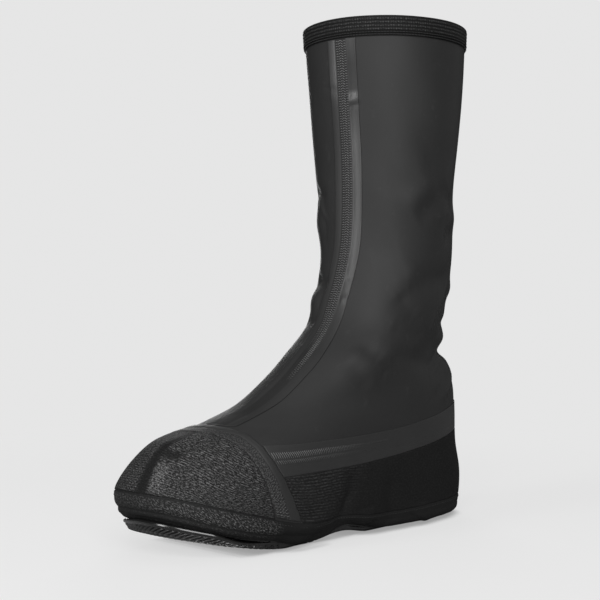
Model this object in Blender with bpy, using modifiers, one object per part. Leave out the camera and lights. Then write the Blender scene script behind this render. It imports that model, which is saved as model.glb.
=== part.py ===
"""Left cycling overshoe: a tall fabric cover with a ribbed rubber sole, standing empty.

Lengths are millimetres in the tables and metres in the scene. +Z is up, the toe points to -Y
and the wearer's left is +X. Every piece follows one form: a stack of rings that starts at the
hem's edge under the foot (ring 0) and ends at the collar (ring 12). Around a ring the angle
runs from the back (0) over the outer side (90) and the front (180) to the inner side (270).
"""

import math
from collections import namedtuple

import bmesh
import bpy
import numpy as np

MM = 0.001
MID_LENGTH = 154.4
SIDE_SHIFT = 0.9

WALL = 1.5
GAP = 0.3
COVER = 0.8
TAPE = 1.0
BINDING = 1.1
EDGE = 0.04
STAMP_DEPTH = 1.6
END_GAP = 0.5

RING_STEP = 0.02
ANGLE_STEP = 0.3
ROUND_POINTS = 40
BAND_POINTS = 35
CAP_POINTS = 17
FRONT_TAPE_HALF = 12.0
BINDING_RING = 11.76
ARCH_AT = 0.53
ARCH_SPREAD = 0.10

# One row per ring: its back and front point (distance forward, height), how late the height
# changes from back to front, the arch's lift, and the half widths of the outer and the inner side.
Ring = namedtuple(
    "Ring",
    "back back_up front front_up late arch "
    "out_heel out_waist out_ball out_toe in_heel in_waist in_ball in_toe",
)
RINGS = [
    Ring(16, 2.5, 291, 22.5, 5, 7, 62, 36, 48, 66, 60, 30, 42, 90),
    Ring(4, 4, 303.5, 24.5, 5, 7, 72, 47.5, 52, 76, 70, 37, 50, 112),
    Ring(0, 14, 308.5, 31.5, 5, 3, 74, 48.5, 60, 80, 72, 39.5, 57.5, 116),
    Ring(-2, 35, 310, 45, 3, 0, 73, 48, 60, 78, 72, 39, 61, 113),
    Ring(3.5, 58, 290, 71.5, 2, 0, 73, 47, 56, 66, 68, 43, 52.5, 80),
    Ring(3, 82, 248.5, 84.5, 1.5, 0, 64, 46, 50.5, 56, 62, 43, 43, 50),
    Ring(7, 105, 212.5, 98.5, 1.2, 0, 61, 45, 46, 50, 56, 46.5, 38.5, 44),
    Ring(19, 130, 171, 126, 1, 0, 52.5, 41.5, 49, 47, 52, 44, 41, 44.5),
    Ring(20.5, 160, 136, 156, 1, 0, 50, 47, 47, 48, 50, 47, 47, 48),
    Ring(15, 205, 121.5, 206.5, 1, 0, 51, 50, 50, 50, 51, 50, 50, 50),
    Ring(17.5, 260, 122.5, 265.5, 1, 0, 56, 55, 55, 55, 56, 55, 55, 55),
    Ring(10, 320, 127.5, 322.5, 1, 0, 60, 60, 60, 60, 60, 60, 60, 60),
    Ring(5.5, 378.5, 133.5, 379, 1, 0, 62, 62, 62, 62, 62, 62, 62, 62),
]
TOP = len(RINGS) - 1.0

# Rings of the upper's mesh: from ring, to ring, steps.
RING_STEPS = [(0, 2, 6), (2, 4, 5), (4, 6, 6), (6, 8, 6), (8, 10, 5), (10, 12, 3)]

# Angle of the front seam at a ring.
SEAM = np.array([
    [3.0, 178.0], [4.0, 177.0], [5.0, 171.0], [6.0, 167.0], [7.0, 168.0], [7.8, 176.0],
    [8.3, 178.0], [9.0, 172.5], [10.0, 170.0], [11.0, 170.3], [12.0, 169.5],
])

# Ring of the hem's top line at an angle from the back, the same on both sides.
HEM_START = 0.35
HEM_TOP = np.array([
    [0.0, 2.1], [40.0, 2.05], [80.0, 1.95], [114.0, 2.1], [131.0, 2.45], [160.0, 2.85], [180.0, 2.88],
])

# Ring of the side panel tape's lower and upper edge at an angle from the back.
PANEL_TAPE = np.array([
    [0.0, 4.50, 5.40], [25.0, 4.45, 5.35], [42.0, 4.25, 5.15], [58.0, 4.01, 4.90], [74.0, 3.81, 4.68],
    [92.0, 3.65, 4.52], [111.0, 3.54, 4.38], [122.0, 3.45, 4.28], [138.0, 3.40, 4.22],
])

# Toe cap: ring and angle of its edge, then ring and angle of its tape's far edge, from the hem
# up to the middle of the foot.
CAP_EDGE = np.array([
    [2.37, 124.0, 2.17, 114.5], [2.60, 124.2, 2.45, 115.2], [2.99, 125.5, 2.95, 117.3],
    [3.35, 128.0, 3.40, 121.3], [3.66, 132.0, 3.80, 127.0], [4.03, 139.0, 4.20, 134.5],
    [4.35, 150.0, 4.60, 146.0], [4.55, 163.0, 4.84, 161.0], [4.61, 178.0, 4.93, 178.0],
])

# Sole underside: where the arch and the toe spring start and how high they go.
ARCH_MID = 160.0
ARCH_HALF = 34.0
ARCH_RISE = 4.5
SPRING_FROM = 215.0
SPRING_LENGTH = 70.0
SPRING_RISE = 10.0
SPRING_POWER = 1.3
PLATE = 2.5
NECK_GAP = 0.7
RIM_RING = 1.6
RIM_INSET = 0.6
RIM_DROP = 3.8
RIM_EASE = 4.5
LIP_DROP = 2.8
LIP_EASE = 2.0
TOE_ROUND = 6.0
BED_EDGE = 3.0
BED_HEIGHT = 2.0
RIM = 1.0
GROOVE_WIDTH = 2.2
GROOVE_DEPTH = 2.0
GROOVES = [26, 32, 38, 70, 76, 82, 180, 186, 192, 226, 232, 238, 244, 250, 256, 262, 268, 274, 280, 286, 292]


def along(table, at):
    """Values of a table's other columns where its first column reaches the given places."""
    at = np.asarray(at, float)
    columns = [np.interp(at, table[:, 0], table[:, k]) for k in range(1, table.shape[1])]
    return columns[0] if len(columns) == 1 else columns


def ring_at(v):
    """The ring's columns at real-valued rings, smooth between the rows."""
    table = np.array(RINGS)
    at = np.clip(v, 0, TOP)
    low = np.minimum(at.astype(int), len(RINGS) - 2)
    f = (at - low)[..., None]
    slope = np.gradient(table, axis=0)
    start = (2 * f**3 - 3 * f**2 + 1) * table[low] + (f**3 - 2 * f**2 + f) * slope[low]
    end = (3 * f**2 - 2 * f**3) * table[low + 1] + (f**3 - f**2) * slope[low + 1]
    return Ring(*np.moveaxis(start + end, -1, 0))


def half_width(q, heel, waist, ball, toe):
    """Cubic through the half widths at heel, waist, ball and toe, a third of the length apart."""
    value = -4.5 * (q - 1 / 3) * (q - 2 / 3) * (q - 1) * heel
    value = value + 13.5 * q * (q - 2 / 3) * (q - 1) * waist
    value = value - 13.5 * q * (q - 1 / 3) * (q - 1) * ball
    return value + 4.5 * q * (q - 1 / 3) * (q - 2 / 3) * toe


def form(angle, v):
    """Points of the form, in millimetres, at angles in degrees and at rings."""
    angle, v = np.broadcast_arrays(np.radians(angle), np.asarray(v, float))
    ring = ring_at(v)
    q = (1 - np.cos(angle)) / 2
    side = np.sin(angle)
    forward = ring.back + q * (ring.front - ring.back)
    arch = ring.arch * np.exp(-((q - ARCH_AT) / ARCH_SPREAD) ** 2)
    height = ring.back_up + q**ring.late * (ring.front_up - ring.back_up) + arch
    outer = half_width(q, ring.out_heel, ring.out_waist, ring.out_ball, ring.out_toe)
    inner = half_width(q, ring.in_heel, ring.in_waist, ring.in_ball, ring.in_toe)
    across = SIDE_SHIFT + side * np.where(side >= 0, outer, inner)
    return np.stack([across, MID_LENGTH - forward, height], -1)


def outward(angle, v):
    """Unit normals of the form, pointing out of the shoe."""
    angle, v = np.broadcast_arrays(np.asarray(angle, float), np.asarray(v, float))
    up = form(angle, np.minimum(v + RING_STEP, TOP)) - form(angle, np.maximum(v - RING_STEP, 0))
    across = form(angle + ANGLE_STEP, v) - form(angle - ANGLE_STEP, v)
    normal = np.cross(up, across)
    return normal / np.linalg.norm(normal, axis=-1, keepdims=True)


def raised(angle, v, distance):
    """Points of the form moved out of it by a distance."""
    return form(angle, v) + distance * outward(angle, v)


def clear_scene():
    """Removes whatever the scene starts with."""
    for leftover in list(bpy.data.objects):
        bpy.data.objects.remove(leftover, do_unlink=True)


def collection(name):
    """A new collection in the scene."""
    made = bpy.data.collections.new(name)
    bpy.context.scene.collection.children.link(made)
    return made


def material(name, colour, roughness):
    """A Principled material of one plain colour."""
    made = bpy.data.materials.new(name)
    made.use_nodes = True
    shader = made.node_tree.nodes["Principled BSDF"]
    shader.inputs["Base Color"].default_value = (*colour, 1.0)
    shader.inputs["Roughness"].default_value = roughness
    return made


def mesh_object(name, points, faces, home, finish=None):
    """An object from points in millimetres and faces."""
    mesh = bpy.data.meshes.new(name)
    mesh.from_pydata((np.asarray(points, float) * MM).tolist(), [], faces)
    made = bpy.data.objects.new(name, mesh)
    if finish is not None:
        mesh.materials.append(finish)
    home.objects.link(made)
    return made


def grid_faces(rows, columns, closed):
    """Triangles of a grid whose rows go up the form and whose columns go round it."""
    faces = []
    for i in range(rows - 1):
        low, high = i * columns, (i + 1) * columns
        for j in range(columns if closed else columns - 1):
            k = (j + 1) % columns
            faces.append((low + j, high + j, high + k))
            faces.append((low + j, high + k, low + k))
    return faces


def thicken(made, thickness, side):
    """Gives an open surface a real wall, to its inner side (-1) or its outer side (1)."""
    wall = made.modifiers.new("wall", "SOLIDIFY")
    wall.thickness = thickness * MM
    wall.offset = side
    wall.use_even_offset = False
    wall.use_rim = True


def upper_grid():
    """Angles and rings of the upper's mesh."""
    spans = [np.linspace(start, end, steps, endpoint=False) for start, end, steps in RING_STEPS]
    v = np.append(np.concatenate(spans), TOP)[:, None]
    return np.broadcast_arrays(round_angles()[None, :], v)


def cover(name, angle, v, thickness, homes, finish, closed=False):
    """A piece that lies on the upper: a layer just clear of it, cut to a patch of angles and rings."""
    home, tools = homes
    around, rings = upper_grid()
    points = raised(around, rings, GAP).reshape(-1, 3)
    made = mesh_object(name, points, grid_faces(*around.shape, True), home, finish)
    thicken(made, thickness, 1)
    angle, v = np.broadcast_arrays(angle, v)
    points = raised(angle, v, -STAMP_DEPTH).reshape(-1, 3)
    stamp = mesh_object(name + "_stamp", points, grid_faces(*angle.shape, closed), tools)
    thicken(stamp, 2 * STAMP_DEPTH + thickness, 1)
    keep_as_cutter(stamp)
    cut = made.modifiers.new("outline", "BOOLEAN")
    cut.operation = "INTERSECT"
    cut.solver = "EXACT"
    cut.object = stamp


def keep_as_cutter(made):
    """Marks an object as a helper that isn't part of the overshoe."""
    made.hide_render = True
    made.display_type = "WIRE"


def round_angles():
    """Angles once round the form."""
    return np.arange(ROUND_POINTS) * 360.0 / ROUND_POINTS


def from_back(angle):
    """Angle from the back, the same on both sides."""
    return np.abs((np.asarray(angle, float) + 180.0) % 360.0 - 180.0)


def upper(home):
    """The body: one hollow shell from the hem's edge to the collar."""
    angle, v = upper_grid()
    finish = material("coated_fabric", (0.030, 0.031, 0.034), 0.55)
    made = mesh_object("upper", form(angle, v).reshape(-1, 3), grid_faces(*angle.shape, True), home, finish)
    thicken(made, WALL, -1)


def cap_curves(count):
    """Rings and angles of the toe cap's edge and of its tape's far edge, hem to hem."""
    t = np.linspace(0, 1, len(CAP_EDGE))
    fine = np.linspace(0, 1, count)
    edge_v, edge_angle, far_v, far_angle = (np.interp(fine, t, CAP_EDGE[:, k]) for k in range(4))
    outer = np.stack([edge_v, edge_angle, far_v, far_angle])
    inner = np.stack([edge_v, 360.0 - edge_angle, far_v, 360.0 - far_angle])[:, ::-1]
    return np.concatenate([outer, inner[:, 1:]], axis=1)


def toe_cap(homes):
    """The knit patch over the toe, from the hem up to its tape."""
    edge_v, edge_angle, _, _ = cap_curves(CAP_POINTS)
    share = np.linspace(0, 1, 8)[:, None]
    low_angle = edge_angle[0] + (edge_angle[-1] - edge_angle[0]) * np.linspace(0, 1, len(edge_v))
    angle = low_angle + share * (edge_angle - low_angle)
    low_v = along(HEM_TOP, from_back(angle)) + EDGE
    v = low_v + share * (edge_v - low_v)
    finish = material("toe_knit", (0.055, 0.056, 0.060), 0.85)
    cover("toe_cap", angle, np.maximum(v, low_v), COVER, homes, finish)


def cap_tape(homes):
    """The seam tape along the toe cap's back edge."""
    edge_v, edge_angle, far_v, far_angle = cap_curves(CAP_POINTS)
    share = np.linspace(EDGE, 1, 5)[:, None]
    v = edge_v + share * (far_v - edge_v)
    angle = edge_angle + share * (far_angle - edge_angle)
    finish = material("cap_tape_film", (0.025, 0.025, 0.028), 0.40)
    cover("cap_tape", angle, v, TAPE, homes, finish)


def tape_end(v):
    """Angle at which pieces along the sides stop, just behind the toe cap's tape."""
    return np.interp(v, CAP_EDGE[:, 2], CAP_EDGE[:, 3]) - END_GAP


def band(edges, rows):
    """Angles and rings of a band round the heel, from the toe cap's tape to the toe cap's tape."""
    share = np.linspace(0, 1, rows)[:, None]
    end = np.full_like(share, 120.0)
    for _ in range(8):
        low, high = edges(end)
        end = tape_end(low + share * (high - low))
    angle = np.linspace(-1, 1, BAND_POINTS) * end
    low, high = edges(from_back(angle))
    return angle, low + share * (high - low)


def panel_edges(angle):
    """Rings of the side panel's lower and upper edge."""
    return along(HEM_TOP, angle) + EDGE, along(PANEL_TAPE, angle)[0] - EDGE


def side_panel(homes):
    """The rib knit panel round the heel, between the hem and its tape."""
    finish = material("rib_knit", (0.016, 0.016, 0.018), 0.8)
    cover("side_panel", *band(panel_edges, 5), COVER, homes, finish)


def panel_tape(homes):
    """The seam tape over the side panel's top edge."""
    finish = material("panel_tape_film", (0.03, 0.03, 0.033), 0.4)
    cover("panel_tape", *band(lambda angle: along(PANEL_TAPE, angle), 4), TAPE, homes, finish)


def front_tape(homes):
    """The seam tape from the binding down the leg and over the instep to the toe cap's tape."""
    v = np.linspace(4.97, BINDING_RING - EDGE, 26)[:, None]
    middle = along(SEAM, v)
    pace = np.linalg.norm(form(middle + 0.5, v) - form(middle - 0.5, v), axis=-1)
    angle = middle - np.linspace(-1, 1, 4) * FRONT_TAPE_HALF / pace
    finish = material("front_tape_film", (0.028, 0.028, 0.031), 0.35)
    cover("front_tape", angle[:, ::-1], v, TAPE, homes, finish)


def hem(homes):
    """The elastic casing round the lower edge, turned under the foot."""
    angle = round_angles()[None, :]
    share = np.linspace(0, 1, 10)[:, None]
    v = HEM_START + share * (along(HEM_TOP, from_back(angle)) - HEM_START)
    finish = material("hem_elastic", (0.02, 0.02, 0.022), 0.7)
    cover("hem", angle, v, COVER, homes, finish, closed=True)


def loop_faces(loops, columns):
    """Quads of a ring whose section is a closed loop of points."""
    faces = grid_faces(loops, columns, True)
    last = (loops - 1) * columns
    for j in range(columns):
        k = (j + 1) % columns
        faces.append((last + j, j, k, last + k))
    return faces


def collar_binding(home):
    """The folded binding over the collar's edge: a deep U that rides clear of the wall."""
    out, back = GAP + BINDING, -(WALL + GAP + BINDING)
    section = [
        (BINDING_RING, GAP, 0.0),
        (BINDING_RING, out, 0.0),
        (TOP, out, GAP),
        (TOP, BINDING / 2, GAP + BINDING),
        (TOP, -WALL - BINDING / 2, GAP + BINDING),
        (TOP, back, GAP),
        (BINDING_RING, back, 0.0),
        (BINDING_RING, -WALL - GAP, 0.0),
        (TOP, -WALL - GAP, GAP),
        (TOP, GAP, GAP),
    ]
    angle = round_angles()
    points = [raised(angle, v, distance) + (0, 0, lift) for v, distance, lift in section]
    faces = loop_faces(len(section), ROUND_POINTS)
    finish = material("ribbed_elastic", (0.02, 0.02, 0.022), 0.75)
    mesh_object("collar_binding", np.concatenate(points), faces, home, finish)


def underside(forward):
    """Height of the tread's underside: flat heel and ball, raised arch, toe spring."""
    arch = ARCH_RISE * np.maximum(0, 1 - ((forward - ARCH_MID) / ARCH_HALF) ** 2) ** 2
    spring = SPRING_RISE * (np.maximum(0, forward - SPRING_FROM) / SPRING_LENGTH) ** SPRING_POWER
    return arch + spring


def inset(points, distance):
    """A closed outline moved in by a distance, in plan."""
    step = np.roll(points, -1, axis=0) - np.roll(points, 1, axis=0)
    normal = np.stack([step[:, 1], -step[:, 0]], -1)
    normal /= np.linalg.norm(normal, axis=1, keepdims=True)
    moved = points.copy()
    moved[:, :2] += np.asarray(distance)[..., None] * normal
    return moved


def at_height(points, height):
    """An outline at given heights."""
    moved = points.copy()
    moved[:, 2] = height
    return moved


def smooth_step(value, start, end):
    """A smooth ramp from 0 to 1."""
    t = np.clip((value - start) / (end - start), 0, 1)
    return t * t * (3 - 2 * t)


def sole_rings():
    """Outlines of the sole from its underside up to the top of its plate."""
    angle = round_angles()
    q = (1 - np.cos(np.radians(angle))) / 2
    opening = form(angle, 0.0)
    fold = form(angle, 1.0)
    rim = form(angle, RIM_RING)
    toe = smooth_step(q, 0.78, 0.92)
    neck = inset(opening, NECK_GAP)
    tread = neck + (inset(rim, RIM_INSET) - neck) * toe[:, None]
    lip = neck + (fold - neck) * toe[:, None]
    neck_top = opening[:, 2] + 0.8 - 2.7 * smooth_step(q, 0.66, 0.78)
    rim_top = neck_top + (rim[:, 2] - RIM_DROP - neck_top) * toe**RIM_EASE
    lip_top = neck_top + 0.15 + (fold[:, 2] - LIP_DROP - neck_top - 0.15) * toe**LIP_EASE
    ground = underside(MID_LENGTH - tread[:, 1])
    tuck = TOE_ROUND * smooth_step(q, 0.82, 0.96)
    foot = inset(tread, 1.0 + tuck)
    low = ground + 1.2
    shelf = opening[:, 2] + WALL + GAP + 0.1
    plate = inset(fold, 3.0)
    plate_low = fold[:, 2] + WALL + GAP + 0.3
    return [
        at_height(foot, underside(MID_LENGTH - foot[:, 1])),
        at_height(inset(tread, 0.7 * tuck), low),
        at_height(inset(tread, 0.3 + 0.25 * tuck), low + 0.45 * (rim_top - low)),
        at_height(inset(tread, -RIM * toe), low + 0.75 * (rim_top - low)),
        at_height(inset(tread, 0.5), rim_top),
        at_height(inset(lip, 0.45), lip_top),
        at_height(inset(neck, 0.4), neck_top + 0.3),
        at_height(inset(neck, 0.4), shelf),
        at_height(plate, plate_low),
        at_height(plate, plate_low + PLATE),
        at_height(inset(plate, BED_EDGE), plate_low + PLATE),
        at_height(inset(neck, BED_EDGE), opening[:, 2] + BED_HEIGHT),
    ]


def groove_cutter(home):
    """Bars across the tread, one for each groove, following the toe spring."""
    points, faces = [], []
    for forward in GROOVES:
        slope = math.atan2(underside(forward + 1.0) - underside(forward - 1.0), 2.0)
        base = underside(float(forward))
        start = len(points)
        for x in (-75.0, 75.0):
            for along_bar, up in ((-0.5, -3.0), (0.5, -3.0), (0.5, GROOVE_DEPTH), (-0.5, GROOVE_DEPTH)):
                a = along_bar * GROOVE_WIDTH
                ahead = a * math.cos(slope) - up * math.sin(slope)
                rise = a * math.sin(slope) + up * math.cos(slope)
                points.append((x, MID_LENGTH - forward - ahead, base + rise))
        box = [(0, 1, 2, 3), (7, 6, 5, 4), (0, 4, 5, 1), (1, 5, 6, 2), (2, 6, 7, 3), (3, 7, 4, 0)]
        faces += [tuple(start + corner for corner in face) for face in box]
    made = mesh_object("grooves", points, faces, home)
    face_out(made)
    keep_as_cutter(made)
    return made


def face_out(made):
    """Turns every face of a closed mesh to the outside."""
    edit = bmesh.new()
    edit.from_mesh(made.data)
    bmesh.ops.recalc_face_normals(edit, faces=edit.faces)
    edit.to_mesh(made.data)
    edit.free()


def ladder(offset, count):
    """Faces that close an outline with rungs from its outer to its inner side."""
    half = count // 2
    faces = [(offset, offset + 1, offset + count - 1)]
    for j in range(1, half - 1):
        faces.append((offset + j, offset + j + 1, offset + count - j - 1, offset + count - j))
    faces.append((offset + half - 1, offset + half, offset + half + 1))
    return faces


def sole(home, tools):
    """The rubber sole: plate inside the hem, tread below it, rim and ribs."""
    rings = sole_rings()
    faces = grid_faces(len(rings), ROUND_POINTS, True)
    faces += ladder(0, ROUND_POINTS)
    faces += ladder((len(rings) - 1) * ROUND_POINTS, ROUND_POINTS)
    finish = material("rubber", (0.02, 0.02, 0.021), 0.45)
    made = mesh_object("sole", np.concatenate(rings), faces, home, finish)
    face_out(made)
    cut = made.modifiers.new("ribs", "BOOLEAN")
    cut.operation = "DIFFERENCE"
    cut.solver = "EXACT"
    cut.object = groove_cutter(tools)


def main():
    """Builds the overshoe."""
    clear_scene()
    home = collection("cycling_overshoe")
    tools = collection("cutters")
    homes = (home, tools)
    upper(home)
    sole(home, tools)
    toe_cap(homes)
    side_panel(homes)
    front_tape(homes)
    panel_tape(homes)
    cap_tape(homes)
    hem(homes)
    collar_binding(home)


main()
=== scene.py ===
"""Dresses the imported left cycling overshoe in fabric, knit, tape, elastic, thread and rubber.

Sizes are millimetres and the meshes are made in metres. +Z is up, the toe points to -Y and the
wearer's left is +X. Every fabric piece follows one form, a stack of rings from the hem's edge
under the foot (ring 0) to the collar (ring 12). Round a ring the angle runs in degrees from the
back (0) over the outer side (90) and the front (180) to the inner side (270).
"""

import logging
import math
from dataclasses import dataclass
from enum import Enum
from typing import Any, NamedTuple, Sequence

import bmesh
import bpy
import numpy as np
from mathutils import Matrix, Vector


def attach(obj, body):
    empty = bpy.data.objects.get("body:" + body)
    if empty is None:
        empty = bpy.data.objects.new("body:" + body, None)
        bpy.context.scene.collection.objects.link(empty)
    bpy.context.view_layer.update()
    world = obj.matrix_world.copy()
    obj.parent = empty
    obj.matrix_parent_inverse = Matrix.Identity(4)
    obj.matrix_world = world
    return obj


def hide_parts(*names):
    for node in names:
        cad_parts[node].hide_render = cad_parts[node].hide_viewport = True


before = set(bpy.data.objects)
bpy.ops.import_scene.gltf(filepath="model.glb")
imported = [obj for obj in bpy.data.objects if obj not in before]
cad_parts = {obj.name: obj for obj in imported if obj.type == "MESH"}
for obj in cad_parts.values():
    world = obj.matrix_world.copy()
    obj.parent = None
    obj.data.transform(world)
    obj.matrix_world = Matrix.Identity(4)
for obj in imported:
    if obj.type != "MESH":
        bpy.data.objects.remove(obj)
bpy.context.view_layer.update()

Array = np.ndarray
Number = float | Array
Table = tuple[tuple[float, ...], ...]
MM = 0.001
LOG = logging.getLogger("overshoe")


class Ring(NamedTuple):
    """One ring: its back and front point, its rise, its arch and its half widths on both sides."""

    back: float
    back_up: float
    front: float
    front_up: float
    late: float
    arch: float
    out_heel: float
    out_waist: float
    out_ball: float
    out_toe: float
    in_heel: float
    in_waist: float
    in_ball: float
    in_toe: float


RINGS = (
    Ring(16, 2.5, 291, 22.5, 5, 7, 62, 36, 48, 66, 60, 30, 42, 90),
    Ring(4, 4, 303.5, 24.5, 5, 7, 72, 47.5, 52, 76, 70, 37, 50, 112),
    Ring(0, 14, 308.5, 31.5, 5, 3, 74, 48.5, 60, 80, 72, 39.5, 57.5, 116),
    Ring(-2, 35, 310, 45, 3, 0, 73, 48, 60, 78, 72, 39, 61, 113),
    Ring(3.5, 58, 290, 71.5, 2, 0, 73, 47, 56, 66, 68, 43, 52.5, 80),
    Ring(3, 82, 248.5, 84.5, 1.5, 0, 64, 46, 50.5, 56, 62, 43, 43, 50),
    Ring(7, 105, 212.5, 98.5, 1.2, 0, 61, 45, 46, 50, 56, 46.5, 38.5, 44),
    Ring(19, 130, 171, 126, 1, 0, 52.5, 41.5, 49, 47, 52, 44, 41, 44.5),
    Ring(20.5, 160, 136, 156, 1, 0, 50, 47, 47, 48, 50, 47, 47, 48),
    Ring(15, 205, 121.5, 206.5, 1, 0, 51, 50, 50, 50, 51, 50, 50, 50),
    Ring(17.5, 260, 122.5, 265.5, 1, 0, 56, 55, 55, 55, 56, 55, 55, 55),
    Ring(10, 320, 127.5, 322.5, 1, 0, 60, 60, 60, 60, 60, 60, 60, 60),
    Ring(5.5, 378.5, 133.5, 379, 1, 0, 62, 62, 62, 62, 62, 62, 62, 62),
)
TOP = len(RINGS) - 1.0


class Fold(NamedTuple):
    """A ridge, or with a negative rise a trough, along a line on the form."""

    start_angle: float
    start_ring: float
    end_angle: float
    end_ring: float
    half_width: float
    rise: float
    flatness: float = 2.0


# Folds that the leg and the ankle show on the outer side and at the back.
LEG_FOLDS = (
    Fold(94, 10.62, 138, 9.68, 14, -0.8),
    Fold(100, 10.25, 132, 9.95, 12, 0.5),
    Fold(70, 10.42, 110, 10.08, 11, -0.8),
    Fold(92, 9.97, 123, 9.54, 10, 1.3),
    Fold(74, 9.92, 112, 9.44, 8, -2.0),
    Fold(66, 9.68, 90, 9.45, 5, 1.0),
    Fold(56, 9.76, 80, 9.68, 7, -1.6),
    Fold(46, 9.52, 74, 9.50, 9, 1.4),
    Fold(52, 9.32, 80, 9.24, 7, -1.8),
    Fold(126, 9.05, 146, 8.85, 11, -0.5),
    Fold(58, 8.66, 112, 8.52, 9, -2.6),
    Fold(106, 8.55, 120, 8.30, 8, -1.0),
    Fold(104, 8.76, 123, 8.34, 9, 1.2),
    Fold(120, 8.39, 98, 7.95, 9, -1.1),
    Fold(103, 8.05, 82, 7.40, 9, -1.2),
    Fold(58, 8.64, 75, 7.98, 2.4, 1.4),
    Fold(75, 8.06, 73, 7.60, 2.4, 1.1),
    Fold(48, 8.40, 62, 7.82, 6, -2.0),
    Fold(18, 8.52, 58, 8.44, 7, 1.6),
    Fold(22, 7.84, 62, 7.74, 4.5, -1.5),
    Fold(22, 7.44, 60, 7.36, 6, 1.9),
    Fold(-12, 7.12, 54, 6.94, 5, -3.2),
    Fold(38, 7.00, 64, 6.32, 3.0, 1.4),
    Fold(48, 6.96, 64, 6.46, 5, -1.8),
    Fold(20, 6.62, 46, 6.50, 8, 2.2),
    Fold(28, 6.52, 53, 5.40, 3.0, 1.3),
    Fold(46, 6.40, 60, 5.40, 5, -0.9),
    Fold(139, 7.50, 109, 6.88, 8, -1.1),
    Fold(112, 6.94, 99, 6.52, 7, -0.8),
    Fold(140, 7.28, 103, 6.58, 9, 1.3),
    Fold(128, 7.46, 98, 7.02, 10, 0.9),
    Fold(118, 7.83, 89, 7.42, 7, -0.9),
    Fold(132, 7.00, 107, 6.22, 8, -0.9),
    Fold(106, 7.05, 84, 6.97, 8, -1.3),
    Fold(88, 6.97, 60, 6.64, 7, -1.3),
)
# Folds of the inner side near the front, which show along the outline.
FRONT_FOLDS = (
    Fold(232, 9.86, 196, 9.72, 5, -2.0),
    Fold(212, 9.74, 196, 9.40, 2, 0.8),
    Fold(234, 9.40, 200, 9.40, 12, 2.0),
    Fold(226, 8.64, 188, 8.50, 6, -3.0),
    Fold(232, 8.30, 196, 8.30, 9, 2.4),
    Fold(220, 7.95, 192, 7.90, 5, -1.2),
)
# Kinks in the front tape.
TAPE_FOLDS = (
    Fold(168, 10.85, 156, 10.89, 1.7, -0.5),
    Fold(168, 10.95, 157, 10.98, 3.0, 0.6),
    Fold(190, 11.16, 175, 11.10, 2.4, -0.35),
    Fold(169, 8.62, 160, 8.66, 2.6, -0.4),
    Fold(170, 8.30, 162, 8.34, 3.0, 0.4),
)
# Slack in the side panel and the hem below it.
PANEL_FOLDS = (
    Fold(90, 3.75, 102, 1.10, 9, -2.6),
    Fold(92.5, 3.00, 97, 2.10, 3.2, -1.6),
    Fold(76, 3.55, 75, 0.90, 8, -2.0),
    Fold(112, 2.30, 111, 1.20, 12, 1.8),
    Fold(87, 2.30, 87, 1.20, 9, 2.2),
    Fold(60, 2.20, 60, 1.00, 12, 1.8),
    Fold(35, 2.60, 30, 1.10, 9, -1.2),
    Fold(122, 0.85, 94, 0.80, 5, 2.8),
)
# The seam strip that shows through the toe cap, and the hem drawn in above the rubber.
TOE_FOLDS = (
    Fold(179, 4.45, 173, 2.90, 7.5, 1.2, 6.0),
    Fold(181, 3.80, 163, 3.82, 3.0, 0.6, 3.0),
    Fold(142, 1.20, 196, 1.20, 4.0, -2.2),
)
INNER_SHARE = 0.8
INNER_SHIFT = -0.1


def mirrored(folds: Sequence[Fold]) -> tuple[Fold, ...]:
    """The same folds on the inner side, a little lower and softer.

    Args:
        folds: Folds of the outer side.

    Returns:
        Their mirror images.
    """
    return tuple(
        fold._replace(
            start_angle=360 - fold.start_angle,
            end_angle=360 - fold.end_angle,
            start_ring=fold.start_ring + INNER_SHIFT,
            end_ring=fold.end_ring + INNER_SHIFT,
            rise=INNER_SHARE * fold.rise,
        )
        for fold in folds
    )


def column(table: Sequence[Sequence[float]], at: Number, which: int = 1) -> Array:
    """A table's column where its first column reaches the given places."""
    numbers = np.array(table, float)
    return np.interp(at, numbers[:, 0], numbers[:, which])


def smooth_step(value: Number, start: float, end: float) -> Array:
    """A smooth ramp from 0 to 1."""
    t = np.clip((np.asarray(value, float) - start) / (end - start), 0, 1)
    return t * t * (3 - 2 * t)


def within(value: Array, start: float, end: float, soft: float) -> Array:
    """1 between two limits and 0 outside them, with soft ends."""
    return smooth_step(value, start - soft, start + soft) * smooth_step(value, end + soft, end - soft)


def from_back(angle: Number) -> Array:
    """Angle from the back, the same on both sides."""
    return np.abs((np.asarray(angle, float) + 180.0) % 360.0 - 180.0)


def unit(vectors: Array) -> Array:
    """Vectors of length one."""
    return vectors / np.maximum(np.linalg.norm(vectors, axis=-1, keepdims=True), 1e-9)


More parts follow.
